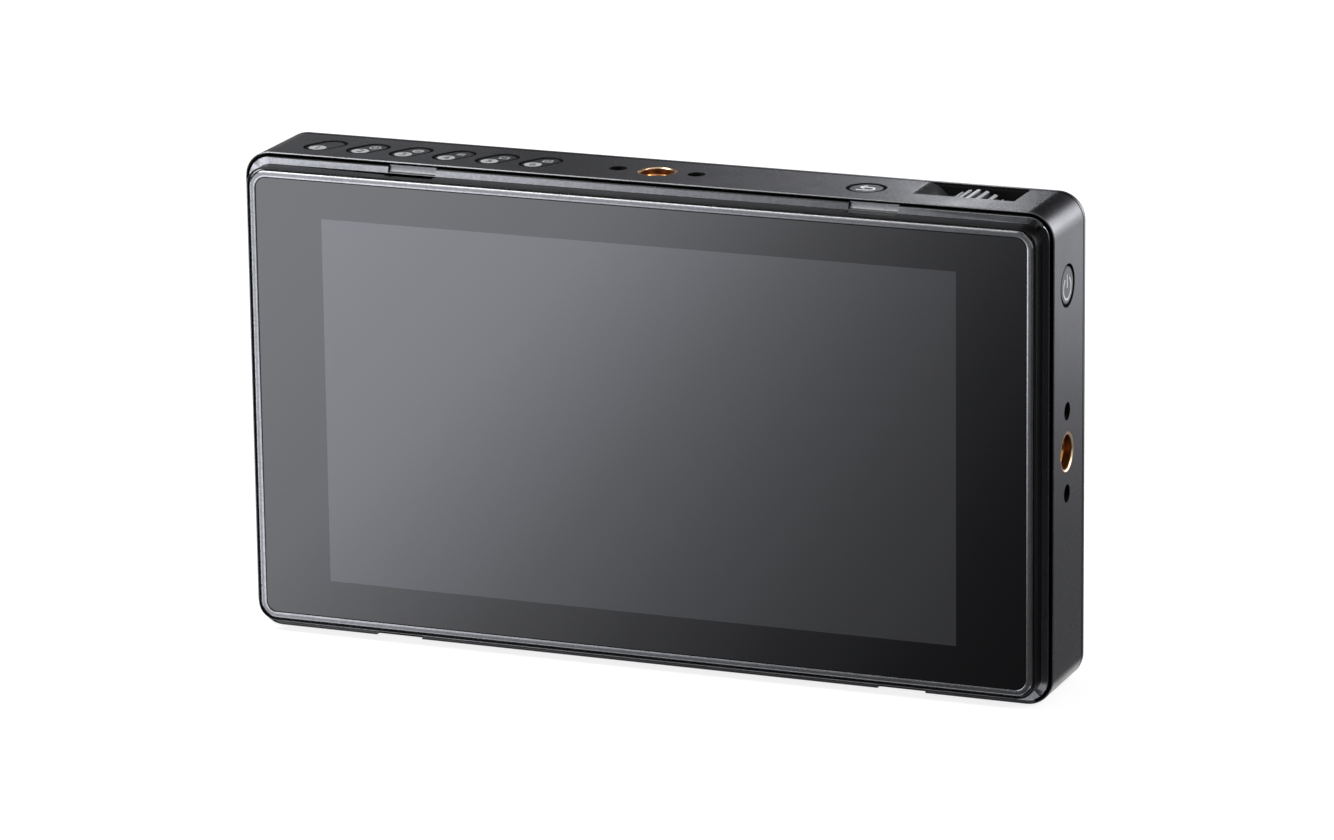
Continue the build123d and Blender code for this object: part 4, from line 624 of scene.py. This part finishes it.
def run_thread(name, mouth, inward, socket_node):
    """Screw thread inside a brass socket: one ridge wound along the bore."""
    build = bmesh.new()
    inward, mouth = Vector(inward), Vector(mouth)
    side = inward.orthogonal().normalized()
    corners = [
        build.verts.new((mouth + side * reach + inward * (THREAD_START + rise)) * MM)
        for reach, rise in RIDGE
    ]
    edges = [build.edges.new((a, b)) for a, b in zip(corners, corners[1:] + corners[:1])]
    bmesh.ops.spin(
        build,
        geom=corners + edges,
        cent=mouth * MM,
        axis=inward,
        dvec=inward * (THREAD_PITCH / THREAD_STEPS) * MM,
        angle=2 * pi * THREAD_TURNS,
        steps=int(THREAD_STEPS * THREAD_TURNS),
        use_merge=False,
    )
    open_edges = [edge for edge in build.edges if edge.is_boundary]
    bmesh.ops.holes_fill(build, edges=open_edges, sides=0)
    bmesh.ops.recalc_face_normals(build, faces=build.faces)
    return add_piece(name, build, [brass], BODY_OF[socket_node], 50.0)


side_mouth = (HALF_BODY, SIDE_LINE, MID_HEIGHT)
run_thread("top_thread_ridge", (0, TOP_LINE, TOP_FACE), (0, 0, -1), "top_socket")
run_thread("base_thread_ridge", (0, TOP_LINE, 0), (0, 0, 1), "base_socket")
run_thread("side_thread_ridge", side_mouth, (-1, 0, 0), "side_socket")


class Mark:
    """A thin printed mark, drawn flat in millimetres and then laid on a face."""

    def __init__(self):
        self.build = bmesh.new()

    def arc(self, centre, radius, width, start, sweep):
        """Band along an arc; angles in degrees."""
        turn = Matrix.Rotation(radians(start), 3, "Z")
        middle = Vector((*centre, 0))
        ends = [
            self.build.verts.new(middle + turn @ Vector((radius + step, 0, 0)))
            for step in (-width / 2, width / 2)
        ]
        edge = self.build.edges.new(ends)
        bmesh.ops.spin(
            self.build,
            geom=ends + [edge],
            cent=middle,
            axis=(0, 0, 1),
            angle=radians(sweep),
            steps=max(6, int(abs(sweep) / 12)),
            use_merge=abs(sweep) >= 360,
        )

    def bar(self, start, end, width):
        """Straight band from start to end."""
        first, last = Vector((*start, 0)), Vector((*end, 0))
        across = (last - first).normalized().cross(Vector((0, 0, 1))) * (width / 2)
        ends = [self.build.verts.new(first - across), self.build.verts.new(first + across)]
        edge = self.build.edges.new(ends)
        moved = new_verts(bmesh.ops.extrude_edge_only(self.build, edges=[edge]))
        bmesh.ops.translate(self.build, verts=moved, vec=last - first)

    def disc(self, centre, radius):
        place = Matrix.Translation((*centre, 0))
        bmesh.ops.create_circle(
            self.build, cap_ends=True, radius=radius, segments=40, matrix=place
        )

    def text(self, words, centre, height):
        """Plain figures, centred."""
        curve = bpy.data.curves.new("figures", "FONT")
        curve.body = words
        curve.size = height
        curve.align_x = "CENTER"
        curve.align_y = "CENTER"
        holder = bpy.data.objects.new("figures", curve)
        bpy.context.scene.collection.objects.link(holder)
        bpy.context.view_layer.update()
        graph = bpy.context.evaluated_depsgraph_get()
        flat = bpy.data.meshes.new_from_object(holder.evaluated_get(graph))
        flat.transform(Matrix.Translation((*centre, 0)))
        self.build.from_mesh(flat)
        bpy.data.objects.remove(holder)

    def lay(self, name, origin, right, up, thick, material, node_name, slot):
        """Gives the mark its thickness and sets it on its key's face, up and right as given."""
        build = self.build
        bmesh.ops.remove_doubles(build, verts=build.verts, dist=0.004)
        bmesh.ops.recalc_face_normals(build, faces=build.faces)
        downward = [face for face in build.faces if face.normal.z < 0]
        bmesh.ops.reverse_faces(build, faces=downward)
        right, up = Vector(right), Vector(up)
        place = Matrix((right, up, right.cross(up))).transposed().to_4x4()
        place.translation = Vector(origin)
        bmesh.ops.transform(build, matrix=Matrix.Scale(MM, 4) @ place, verts=build.verts)
        raised = new_verts(bmesh.ops.extrude_face_region(build, geom=build.faces[:]))
        bmesh.ops.translate(build, verts=raised, vec=right.cross(up) * thick * MM)
        bmesh.ops.recalc_face_normals(build, faces=build.faces)
        return add_piece(name, build, [material], BODY_OF[node_name])


def companion(mark, number):
    """Fainter sign at the far end of function keys 2 to 6."""
    if number in (2, 3):
        mark.arc((0, 0), 0.95, 0.3, 0, 360)
    if number in (3, 4):
        for step in (-0.55, 0, 0.55):
            mark.bar((step, -0.75), (step, 0.75), 0.26)
    if number in (5, 6):
        for up in (-0.7, 0.7):
            mark.bar((-0.95, up), (0.95, up), 0.28)
        for step in (-0.81, 0.81):
            mark.bar((step, -0.7), (step, 0.7), 0.28)
    if number == 6:
        mark.bar((-0.4, 0), (0.4, 0), 0.3)
    if number == 2:
        mark.disc((0, 0), 0.35)


TOP_RIGHT, TOP_UP = (1, 0, 0), (0, 1, 0)
BADGE_SPOT, SIGN_SPOT = (-0.80, -1.85), (0.80, 1.35)  # from a function key's middle
BADGE_RADIUS = 1.62
FIGURE_HEIGHT = 2.9
MARK_FOOT = KEY_TOP - 0.01  # marks start just inside the key
FIGURE_FOOT = KEY_TOP + 0.015  # figures stand on their badge
MARK_THICK, FIGURE_THICK, SIGN_THICK = 0.035, 0.025, 0.03


def mark_key(mark, name, node_name, spot, foot, thick, material):
    """Lays a mark on a top key, at a spot measured from the key's middle."""
    x, y, _ = middle_of(node_name)
    origin = (x + spot[0], y + spot[1], foot)
    mark.lay(name, origin, TOP_RIGHT, TOP_UP, thick, material, node_name, "key_black")


for number in range(1, 7):
    node_name = f"function_key_{number}"
    badge = Mark()
    badge.disc((0, 0), BADGE_RADIUS)
    mark_key(badge, f"badge_{number}", node_name, BADGE_SPOT, MARK_FOOT, MARK_THICK, badge_ink)
    figure = Mark()
    figure.text(str(number), (0, 0), FIGURE_HEIGHT)
    place = (BADGE_SPOT, FIGURE_FOOT, FIGURE_THICK)
    mark_key(figure, f"figure_{number}", node_name, *place, black_ink)
    if number > 1:
        sign = Mark()
        companion(sign, number)
        mark_key(sign, f"sign_{number}", node_name, SIGN_SPOT, MARK_FOOT, SIGN_THICK, badge_ink)

STROKE = 0.42  # of the return arrow and the power sign
arrow = Mark()
arrow.bar((-1.1, 0.75), (0.5, 0.75), STROKE)
arrow.arc((0.5, -0.3), 1.05, STROKE, -90, 180)
arrow.bar((0.5, -1.35), (-1.5, -1.35), STROKE)
arrow.bar((-1.3, 0.85), (-0.4, 1.85), STROKE)
arrow.bar((-1.3, 0.65), (-0.4, -0.25), STROKE)
mark_key(arrow, "return_arrow", "return_key", (0, 0), MARK_FOOT, MARK_THICK, white_ink)

power = Mark()
power.arc((0, -0.45), 2.05, STROKE, 125, 290)
power.bar((0, -0.45), (0, 2.0), STROKE)
_, y, z = middle_of("power_key")
origin = (POWER_FACE - 0.01, y, z)
power.lay(
    "power_sign", origin, (0, 1, 0), (0, 0, 1), MARK_THICK, white_ink, "power_key", "key_black"
)


HEAD_RADIUS, HEAD_THICK = 1.86, 1.0  # the rear cover's and the battery plate's screws
SHANK_RADIUS = 0.9
CROSS_ARM, CROSS_WAIST = 1.05, 0.62  # half length of the cross, and how far its arms are drawn in
CROSS_DEPTH, CROSS_TAPER = 0.7, 0.7


def crossed_screws(name, node_name, places, top_y, length):
    """Round-headed screws along y with a cross recess, as one piece."""
    build = bmesh.new()
    bmesh.ops.create_grid(build, x_segments=3, y_segments=3, size=CROSS_ARM)
    middles = {face: face.calc_center_median() for face in build.faces}
    corners = [face for face, middle in middles.items() if abs(middle.x * middle.y) > 0.1]
    bmesh.ops.delete(build, geom=corners, context="FACES")
    for face in build.faces:
        if face.normal.z < 0:
            face.normal_flip()
    cross_faces = build.faces[:]
    for vert in build.verts:
        for axis in (0, 1):
            if abs(vert.co[axis]) < CROSS_ARM / 2:
                vert.co[axis] *= CROSS_WAIST
    cross_rim = [edge for edge in build.edges if edge.is_boundary]
    radius, height = HEAD_RADIUS - 0.25, 0.0
    ring = bmesh.ops.create_circle(build, cap_ends=False, radius=radius, segments=32)
    edges = list(dict.fromkeys(edge for vert in ring["verts"] for edge in vert.link_edges))
    bmesh.ops.bridge_loops(build, edges=cross_rim + edges)
    sunk = new_verts(bmesh.ops.extrude_face_region(build, geom=cross_faces))
    bmesh.ops.delete(build, geom=cross_faces, context="FACES")
    bmesh.ops.translate(build, verts=sunk, vec=(0, 0, -CROSS_DEPTH))
    bmesh.ops.scale(build, vec=(CROSS_TAPER, CROSS_TAPER, 1), verts=sunk)
    profile = [
        (HEAD_RADIUS - 0.07, -0.07),
        (HEAD_RADIUS, -0.25),
        (HEAD_RADIUS, -HEAD_THICK),
        (SHANK_RADIUS, -HEAD_THICK),
        (SHANK_RADIUS, 0.4 - length),
        (SHANK_RADIUS * 0.6, -length),
    ]
    for next_radius, next_height in profile:
        grown = bmesh.ops.extrude_edge_only(build, edges=edges)
        verts = new_verts(grown)
        made_edges = [item for item in grown["geom"] if isinstance(item, bmesh.types.BMEdge)]
        edges = [edge for edge in made_edges if edge.is_boundary]
        scale = next_radius / radius
        bmesh.ops.scale(build, vec=(scale, scale, 1), verts=verts)
        bmesh.ops.translate(build, verts=verts, vec=(0, 0, next_height - height))
        radius, height = next_radius, next_height
    bmesh.ops.holes_fill(build, edges=edges, sides=0)
    bmesh.ops.recalc_face_normals(build, faces=build.faces)
    one = build.copy()
    build.clear()
    stand = Matrix.Rotation(radians(-90), 4, "X")
    for turn, (x, z) in enumerate(places):
        copy = bpy.data.meshes.new("one_screw")
        one.to_mesh(copy)
        spin = Matrix.Rotation(radians(20 + 33 * turn), 4, "Z")
        place = Matrix.Translation(Vector((x, top_y, z)) * MM)
        copy.transform(place @ stand @ spin @ Matrix.Scale(MM, 4))
        build.from_mesh(copy)
        bpy.data.meshes.remove(copy)
    one.free()
    piece = add_piece(name, build, [screw_black], BODY_OF[node_name], 40.0)
    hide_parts(node_name)
    return piece


COVER_SCREW_X, COVER_SCREW_Z = 73.1, 40.4  # from the cover's middle
corners = [
    (side * COVER_SCREW_X, MID_HEIGHT + end * COVER_SCREW_Z)
    for side in (-1, 1)
    for end in (-1, 1)
]
crossed_screws("crossed_cover_screws", "cover_screws", corners, top_y=8.25, length=8.8)
corners = [(x, z) for x in (-12.0, 12.0) for z in (18.04, 64.06)]
crossed_screws("crossed_plate_screws", "plate_screws", corners, top_y=10.25, length=4.4)

CONTACT_START, CONTACT_THICK = -76.1, 0.06


def contact_strips(name, node_name, count, pitch, width, length, tongue_y, tongue_z, tongue_thick):
    """Gold strips on both faces of a socket's tongue."""
    build = bmesh.new()
    size = Matrix.Diagonal((length, CONTACT_THICK, width, 1))
    for side in (-1, 1):
        for number in range(count):
            y = tongue_y + side * (tongue_thick / 2 + 0.01)
            z = tongue_z + (number - (count - 1) / 2) * pitch
            place = Matrix.Translation((CONTACT_START + length / 2, y, z))
            made = bmesh.ops.create_cube(build, size=1.0, matrix=place @ size)
            edges = dict.fromkeys(edge for vert in made["verts"] for edge in vert.link_edges)
            bevel(build, list(edges), 0.02)
    bmesh.ops.scale(build, vec=(MM, MM, MM), verts=build.verts)
    return add_piece(name, build, [gold], BODY_OF[node_name])


VIDEO_Y, VIDEO_Z = -0.88, 62.0  # middles of the two tongues
DATA_Y, DATA_Z = -2.08, 44.0
contact_strips(
    "hdmi_contacts",
    "hdmi_socket",
    count=10,
    pitch=1.0,
    width=0.45,
    length=6.0,
    tongue_y=VIDEO_Y,
    tongue_z=VIDEO_Z,
    tongue_thick=1.0,
)
contact_strips(
    "usb_contacts",
    "usb_socket",
    count=12,
    pitch=0.5,
    width=0.25,
    length=4.5,
    tongue_y=DATA_Y,
    tongue_z=DATA_Z,
    tongue_thick=0.7,
)


def on_tongue(centre, normal):
    """Faces of the video socket's plastic tongue and its floor."""
    near = abs(centre.y - VIDEO_Y) < 0.55 and abs(centre.z - VIDEO_Z) < 5.6
    return near and centre.x > -76.6


POWER_PIN = near_axis(-0.08, 17.5, 0.95)  # the power socket's middle pin
softened("hdmi_socket", 0.06, inner=[(black_plastic, on_tongue)])
softened("power_socket", 0.08, inner=[(steel, POWER_PIN)])


# ---------------------------------------------------------------- camera
FRAME_WIDTH = 1334  # pixels
FOCAL_PIXELS = 6671.5
SENSOR_MM = 36.0
AZIMUTH = radians(21.781)
ELEVATION = radians(15.28)
ROLL = radians(-0.708)
DISTANCE = 1204.334 * MM
TARGET = Vector((2.566, -4.93, 44.824)) * MM

forward = Vector((-sin(AZIMUTH), cos(AZIMUTH), 0)) * cos(ELEVATION) - Vector((0, 0, sin(ELEVATION)))
level_right = Vector((cos(AZIMUTH), sin(AZIMUTH), 0.0))
level_up = level_right.cross(forward)
right = level_right * cos(ROLL) + level_up * sin(ROLL)
up = level_up * cos(ROLL) - level_right * sin(ROLL)
camera_data = bpy.data.cameras.new("camera")
camera_data.sensor_width = SENSOR_MM
camera_data.lens = FOCAL_PIXELS / FRAME_WIDTH * SENSOR_MM
camera_data.clip_start = 0.01
camera_data.clip_end = 40.0
camera = bpy.data.objects.new("camera", camera_data)
bpy.context.scene.collection.objects.link(camera)
turn = Matrix((right, up, -forward)).transposed().to_4x4()
camera.matrix_world = Matrix.Translation(TARGET - forward * DISTANCE) @ turn
bpy.context.scene.camera = camera


# ---------------------------------------------------------------- light and floor
def softbox(name, place, size, power):
    """Rectangular lamp that faces the monitor."""
    data = bpy.data.lights.new(name, "AREA")
    data.shape = "RECTANGLE"
    data.size, data.size_y = size
    data.energy = power
    lamp = bpy.data.objects.new(name, data)
    lamp.location = place
    aim = Vector((0.0, 0.0, MID_HEIGHT * MM)) - Vector(place)
    lamp.rotation_euler = aim.to_track_quat("-Z", "Y").to_euler()
    bpy.context.scene.collection.objects.link(lamp)


softbox("key_light", (-0.80, -0.34, 1.15), (0.7, 0.7), 15)
softbox("right_light", (1.1, 0.3, 0.9), (0.5, 0.9), 9)


def plain_view(tree):
    """1 for camera, glossy and transmission rays, which see the plain pale surroundings."""
    path = tree.nodes.new("ShaderNodeLightPath")
    seen = path.outputs["Is Camera Ray"]
    for kind in ("Is Glossy Ray", "Is Transmission Ray"):
        either = tree.nodes.new("ShaderNodeMath")
        either.operation = "MAXIMUM"
        tree.links.new(seen, either.inputs[0])
        tree.links.new(path.outputs[kind], either.inputs[1])
        seen = either.outputs["Value"]
    return seen


SKY_LEVEL, BACKDROP_LEVEL = 0.4, 0.95
world = bpy.data.worlds.new("studio")
bpy.context.scene.world = world
world.use_nodes = True
tree = world.node_tree
sky = tree.nodes["Background"]
sky.inputs["Color"].default_value = (1, 1, 1, 1)
sky.inputs["Strength"].default_value = SKY_LEVEL
backdrop = tree.nodes.new("ShaderNodeBackground")
backdrop.inputs["Strength"].default_value = BACKDROP_LEVEL
pick = tree.nodes.new("ShaderNodeMixShader")
tree.links.new(plain_view(tree), pick.inputs["Fac"])
tree.links.new(sky.outputs["Background"], pick.inputs[1])
tree.links.new(backdrop.outputs["Background"], pick.inputs[2])
tree.links.new(pick.outputs["Shader"], tree.nodes["World Output"].inputs["Surface"])


def floor_paint():
    """Pale floor that looks white to the camera and in reflections, and keeps its shadows."""
    finish = Finish("floor")
    finish.set(base_color=(0.30, 0.30, 0.30, 1), roughness=0.6, specular_ior_level=0.0)
    glowing = finish.node("ShaderNodeEmission")
    glowing.inputs["Strength"].default_value = FLOOR_GLOW
    lifted = finish.node("ShaderNodeAddShader")
    finish.link(finish.shader.outputs["BSDF"], lifted.inputs[0])
    finish.link(glowing.outputs["Emission"], lifted.inputs[1])
    mix = finish.node("ShaderNodeMixShader")
    finish.link(plain_view(finish.tree), mix.inputs["Fac"])
    finish.link(finish.shader.outputs["BSDF"], mix.inputs[1])
    finish.link(lifted.outputs["Shader"], mix.inputs[2])
    finish.link(mix.outputs["Shader"], finish.tree.nodes["Material Output"].inputs["Surface"])
    return finish.material


def panel(name, low, high, material, at, upright=False):
    """Flat staging panel between two corners: lying at height at, or upright at that y."""
    build = bmesh.new()
    bmesh.ops.create_grid(build, x_segments=1, y_segments=1, size=0.5)
    size = Vector(high) - Vector(low)
    centre = (Vector(high) + Vector(low)) / 2
    bmesh.ops.scale(build, vec=(size.x, size.y, 1), verts=build.verts)
    bmesh.ops.translate(build, vec=(centre.x, centre.y, 0), verts=build.verts)
    if upright:
        bmesh.ops.rotate(build, matrix=Matrix.Rotation(pi / 2, 3, "X"), verts=build.verts)
    bmesh.ops.translate(build, vec=(0, at, 0) if upright else (0, 0, at), verts=build.verts)
    mesh = bpy.data.meshes.new(name)
    build.to_mesh(mesh)
    build.free()
    mesh.materials.append(material)
    made = bpy.data.objects.new(name, mesh)
    bpy.context.scene.collection.objects.link(made)
    return made


FLOOR_GLOW = 0.83
panel("floor", (-8, -8), (8, 8), floor_paint(), 0.0)


def reflections_only(card):
    """A studio reflector or flag that shows in glossy surfaces alone."""
    for kind in ("camera", "diffuse", "shadow", "transmission", "volume_scatter"):
        setattr(card, "visible_" + kind, False)


def glow(name, along, levels, fade=(), fade_axis=2):
    """Card whose brightness follows levels along a run, and fades along one more axis if asked."""
    finish = Finish(name)
    finish.tree.nodes.remove(finish.shader)
    light = finish.node("ShaderNodeEmission")
    peak = max(level for _, level in levels)
    shades = [(at, tuple(level / peak * tone for tone in COOL)) for at, level in levels]
    finish.link(finish.run(along(finish), shades), light.inputs["Color"])
    light.inputs["Strength"].default_value = peak
    if fade:
        share = finish.run(finish.axes()[fade_axis], fade)
        finish.link(finish.maths("MULTIPLY", share, peak), light.inputs["Strength"])
    finish.link(light.outputs["Emission"], finish.tree.nodes["Material Output"].inputs["Surface"])
    return finish.material


def along_slope(finish):
    """Metres along the slope of the front card, from its bright left to its dark right."""
    x, y, _ = finish.axes()
    across, back = finish.maths("MULTIPLY", x, 0.86), finish.maths("MULTIPLY", y, 0.14)
    return finish.maths("SUBTRACT", across, back)


def along_x(finish):
    return finish.axes()[0]


def along_y(finish):
    return finish.axes()[1]


COOL = (0.98, 0.99, 1.06)  # tint of the cards

# Levels and fades of the cards by place, in metres. The cards show in reflections alone.
FRONT_LEVELS = [
    (-0.150, 4.7),
    (-0.124, 4.6),
    (-0.070, 3.7),
    (-0.050, 2.75),
    (-0.026, 1.65),
    (-0.002, 0.92),
    (0.021, 0.45),
    (0.044, 0.19),
    (0.074, 0.07),
    (0.110, 0.05),
]
FRONT_FADE = [(-1.2, 0.1), (-0.8, 0.1), (-0.5, 1.0), (0.45, 1.0)]
FOOT_LEVELS = [(-0.09, 3.2), (-0.05, 2.2), (-0.005, 1.4), (0.035, 1.25), (0.07, 1.2)]
RIGHT_LEVELS = [
    (0.0, 0.20),
    (0.102, 0.25),
    (0.153, 0.39),
    (0.204, 0.56),
    (0.227, 0.78),
    (0.282, 1.15),
    (0.4, 1.3),
]
WALL_LEVELS = [
    (-0.9, 4.6),
    (-0.66, 4.4),
    (-0.57, 3.4),
    (-0.50, 1.3),
    (-0.46, 0.55),
    (-0.42, 0.25),
    (-0.37, 0.04),
    (0.6, 0.02),
]
WALL_FADE = [(0.0, 1.0), (0.9, 1.0), (1.6, 0.4), (3.0, 0.2)]
BACK_LEFT_LEVELS = [
    (-1.2, 0.36),
    (-0.26, 0.3),
    (-0.235, 0.14),
    (-0.215, 0.18),
    (-0.19, 0.36),
    (-0.165, 0.5),
    (-0.128, 0.7),
    (-0.118, 3.4),
    (-0.106, 3.4),
    (-0.1, 0.04),
    (0.03, 0.03),
]
BACK_LEFT_FADE = [(0.0, 1.0), (0.245, 1.0), (0.275, 0.02), (0.4, 0.02)]
BACK_RIGHT_LEVELS = [
    (0.03, 0.03),
    (0.15, 0.3),
    (0.2, 1.5),
    (0.25, 5.0),
    (0.33, 6.0),
    (0.5, 4.6),
    (0.9, 2.8),
]
BACK_RIGHT_FADE = [(0.0, 0.4), (0.06, 0.5), (0.12, 1.0), (0.25, 1.0), (0.33, 0.2), (0.4, 0.05)]
FLAG_LEVELS = [(-2.0, 0.02), (2.0, 0.03)]

front_glow = glow("front_glow", along_slope, FRONT_LEVELS, FRONT_FADE, 1)
foot_glow = glow("foot_glow", along_x, FOOT_LEVELS)
right_glow = glow("right_glow", along_y, RIGHT_LEVELS)
wall_glow = glow("front_wall_glow", along_x, WALL_LEVELS, WALL_FADE)
back_left_glow = glow("back_left_glow", along_x, BACK_LEFT_LEVELS, BACK_LEFT_FADE)
back_right_glow = glow("back_right_glow", along_x, BACK_RIGHT_LEVELS, BACK_RIGHT_FADE)
flag_glow = glow("back_flag", along_x, FLAG_LEVELS)
FLOOR_GAP, FOOT_GAP = 0.001, 0.0005  # lying cards stand off the floor, the one at the foot less
cards = [
    panel("front_card", (-1.2, -1.15), (0.6, -0.0175), front_glow, FLOOR_GAP),
    panel("left_card", (-1.2, -0.0175), (-0.079, 0.45), front_glow, FLOOR_GAP),
    panel("foot_card", (-0.079, -0.0175), (0.079, -0.0085), foot_glow, FOOT_GAP),
    panel("right_card", (0.079, -0.02), (1.2, 0.45), right_glow, FLOOR_GAP),
    panel("front_wall", (-1.6, 0.0), (0.9, 3.0), wall_glow, -1.2, True),
    panel("back_left", (-1.2, 0.0), (0.03, 0.4), back_left_glow, 0.5, True),
    panel("back_right", (0.03, 0.0), (0.9, 0.4), back_right_glow, 0.5, True),
    panel("back_flag", (-2.0, 0.0), (2.0, 1.6), flag_glow, 0.56, True),
]
for card in cards:
    reflections_only(card)

bpy.context.scene.view_settings.view_transform = "Standard"
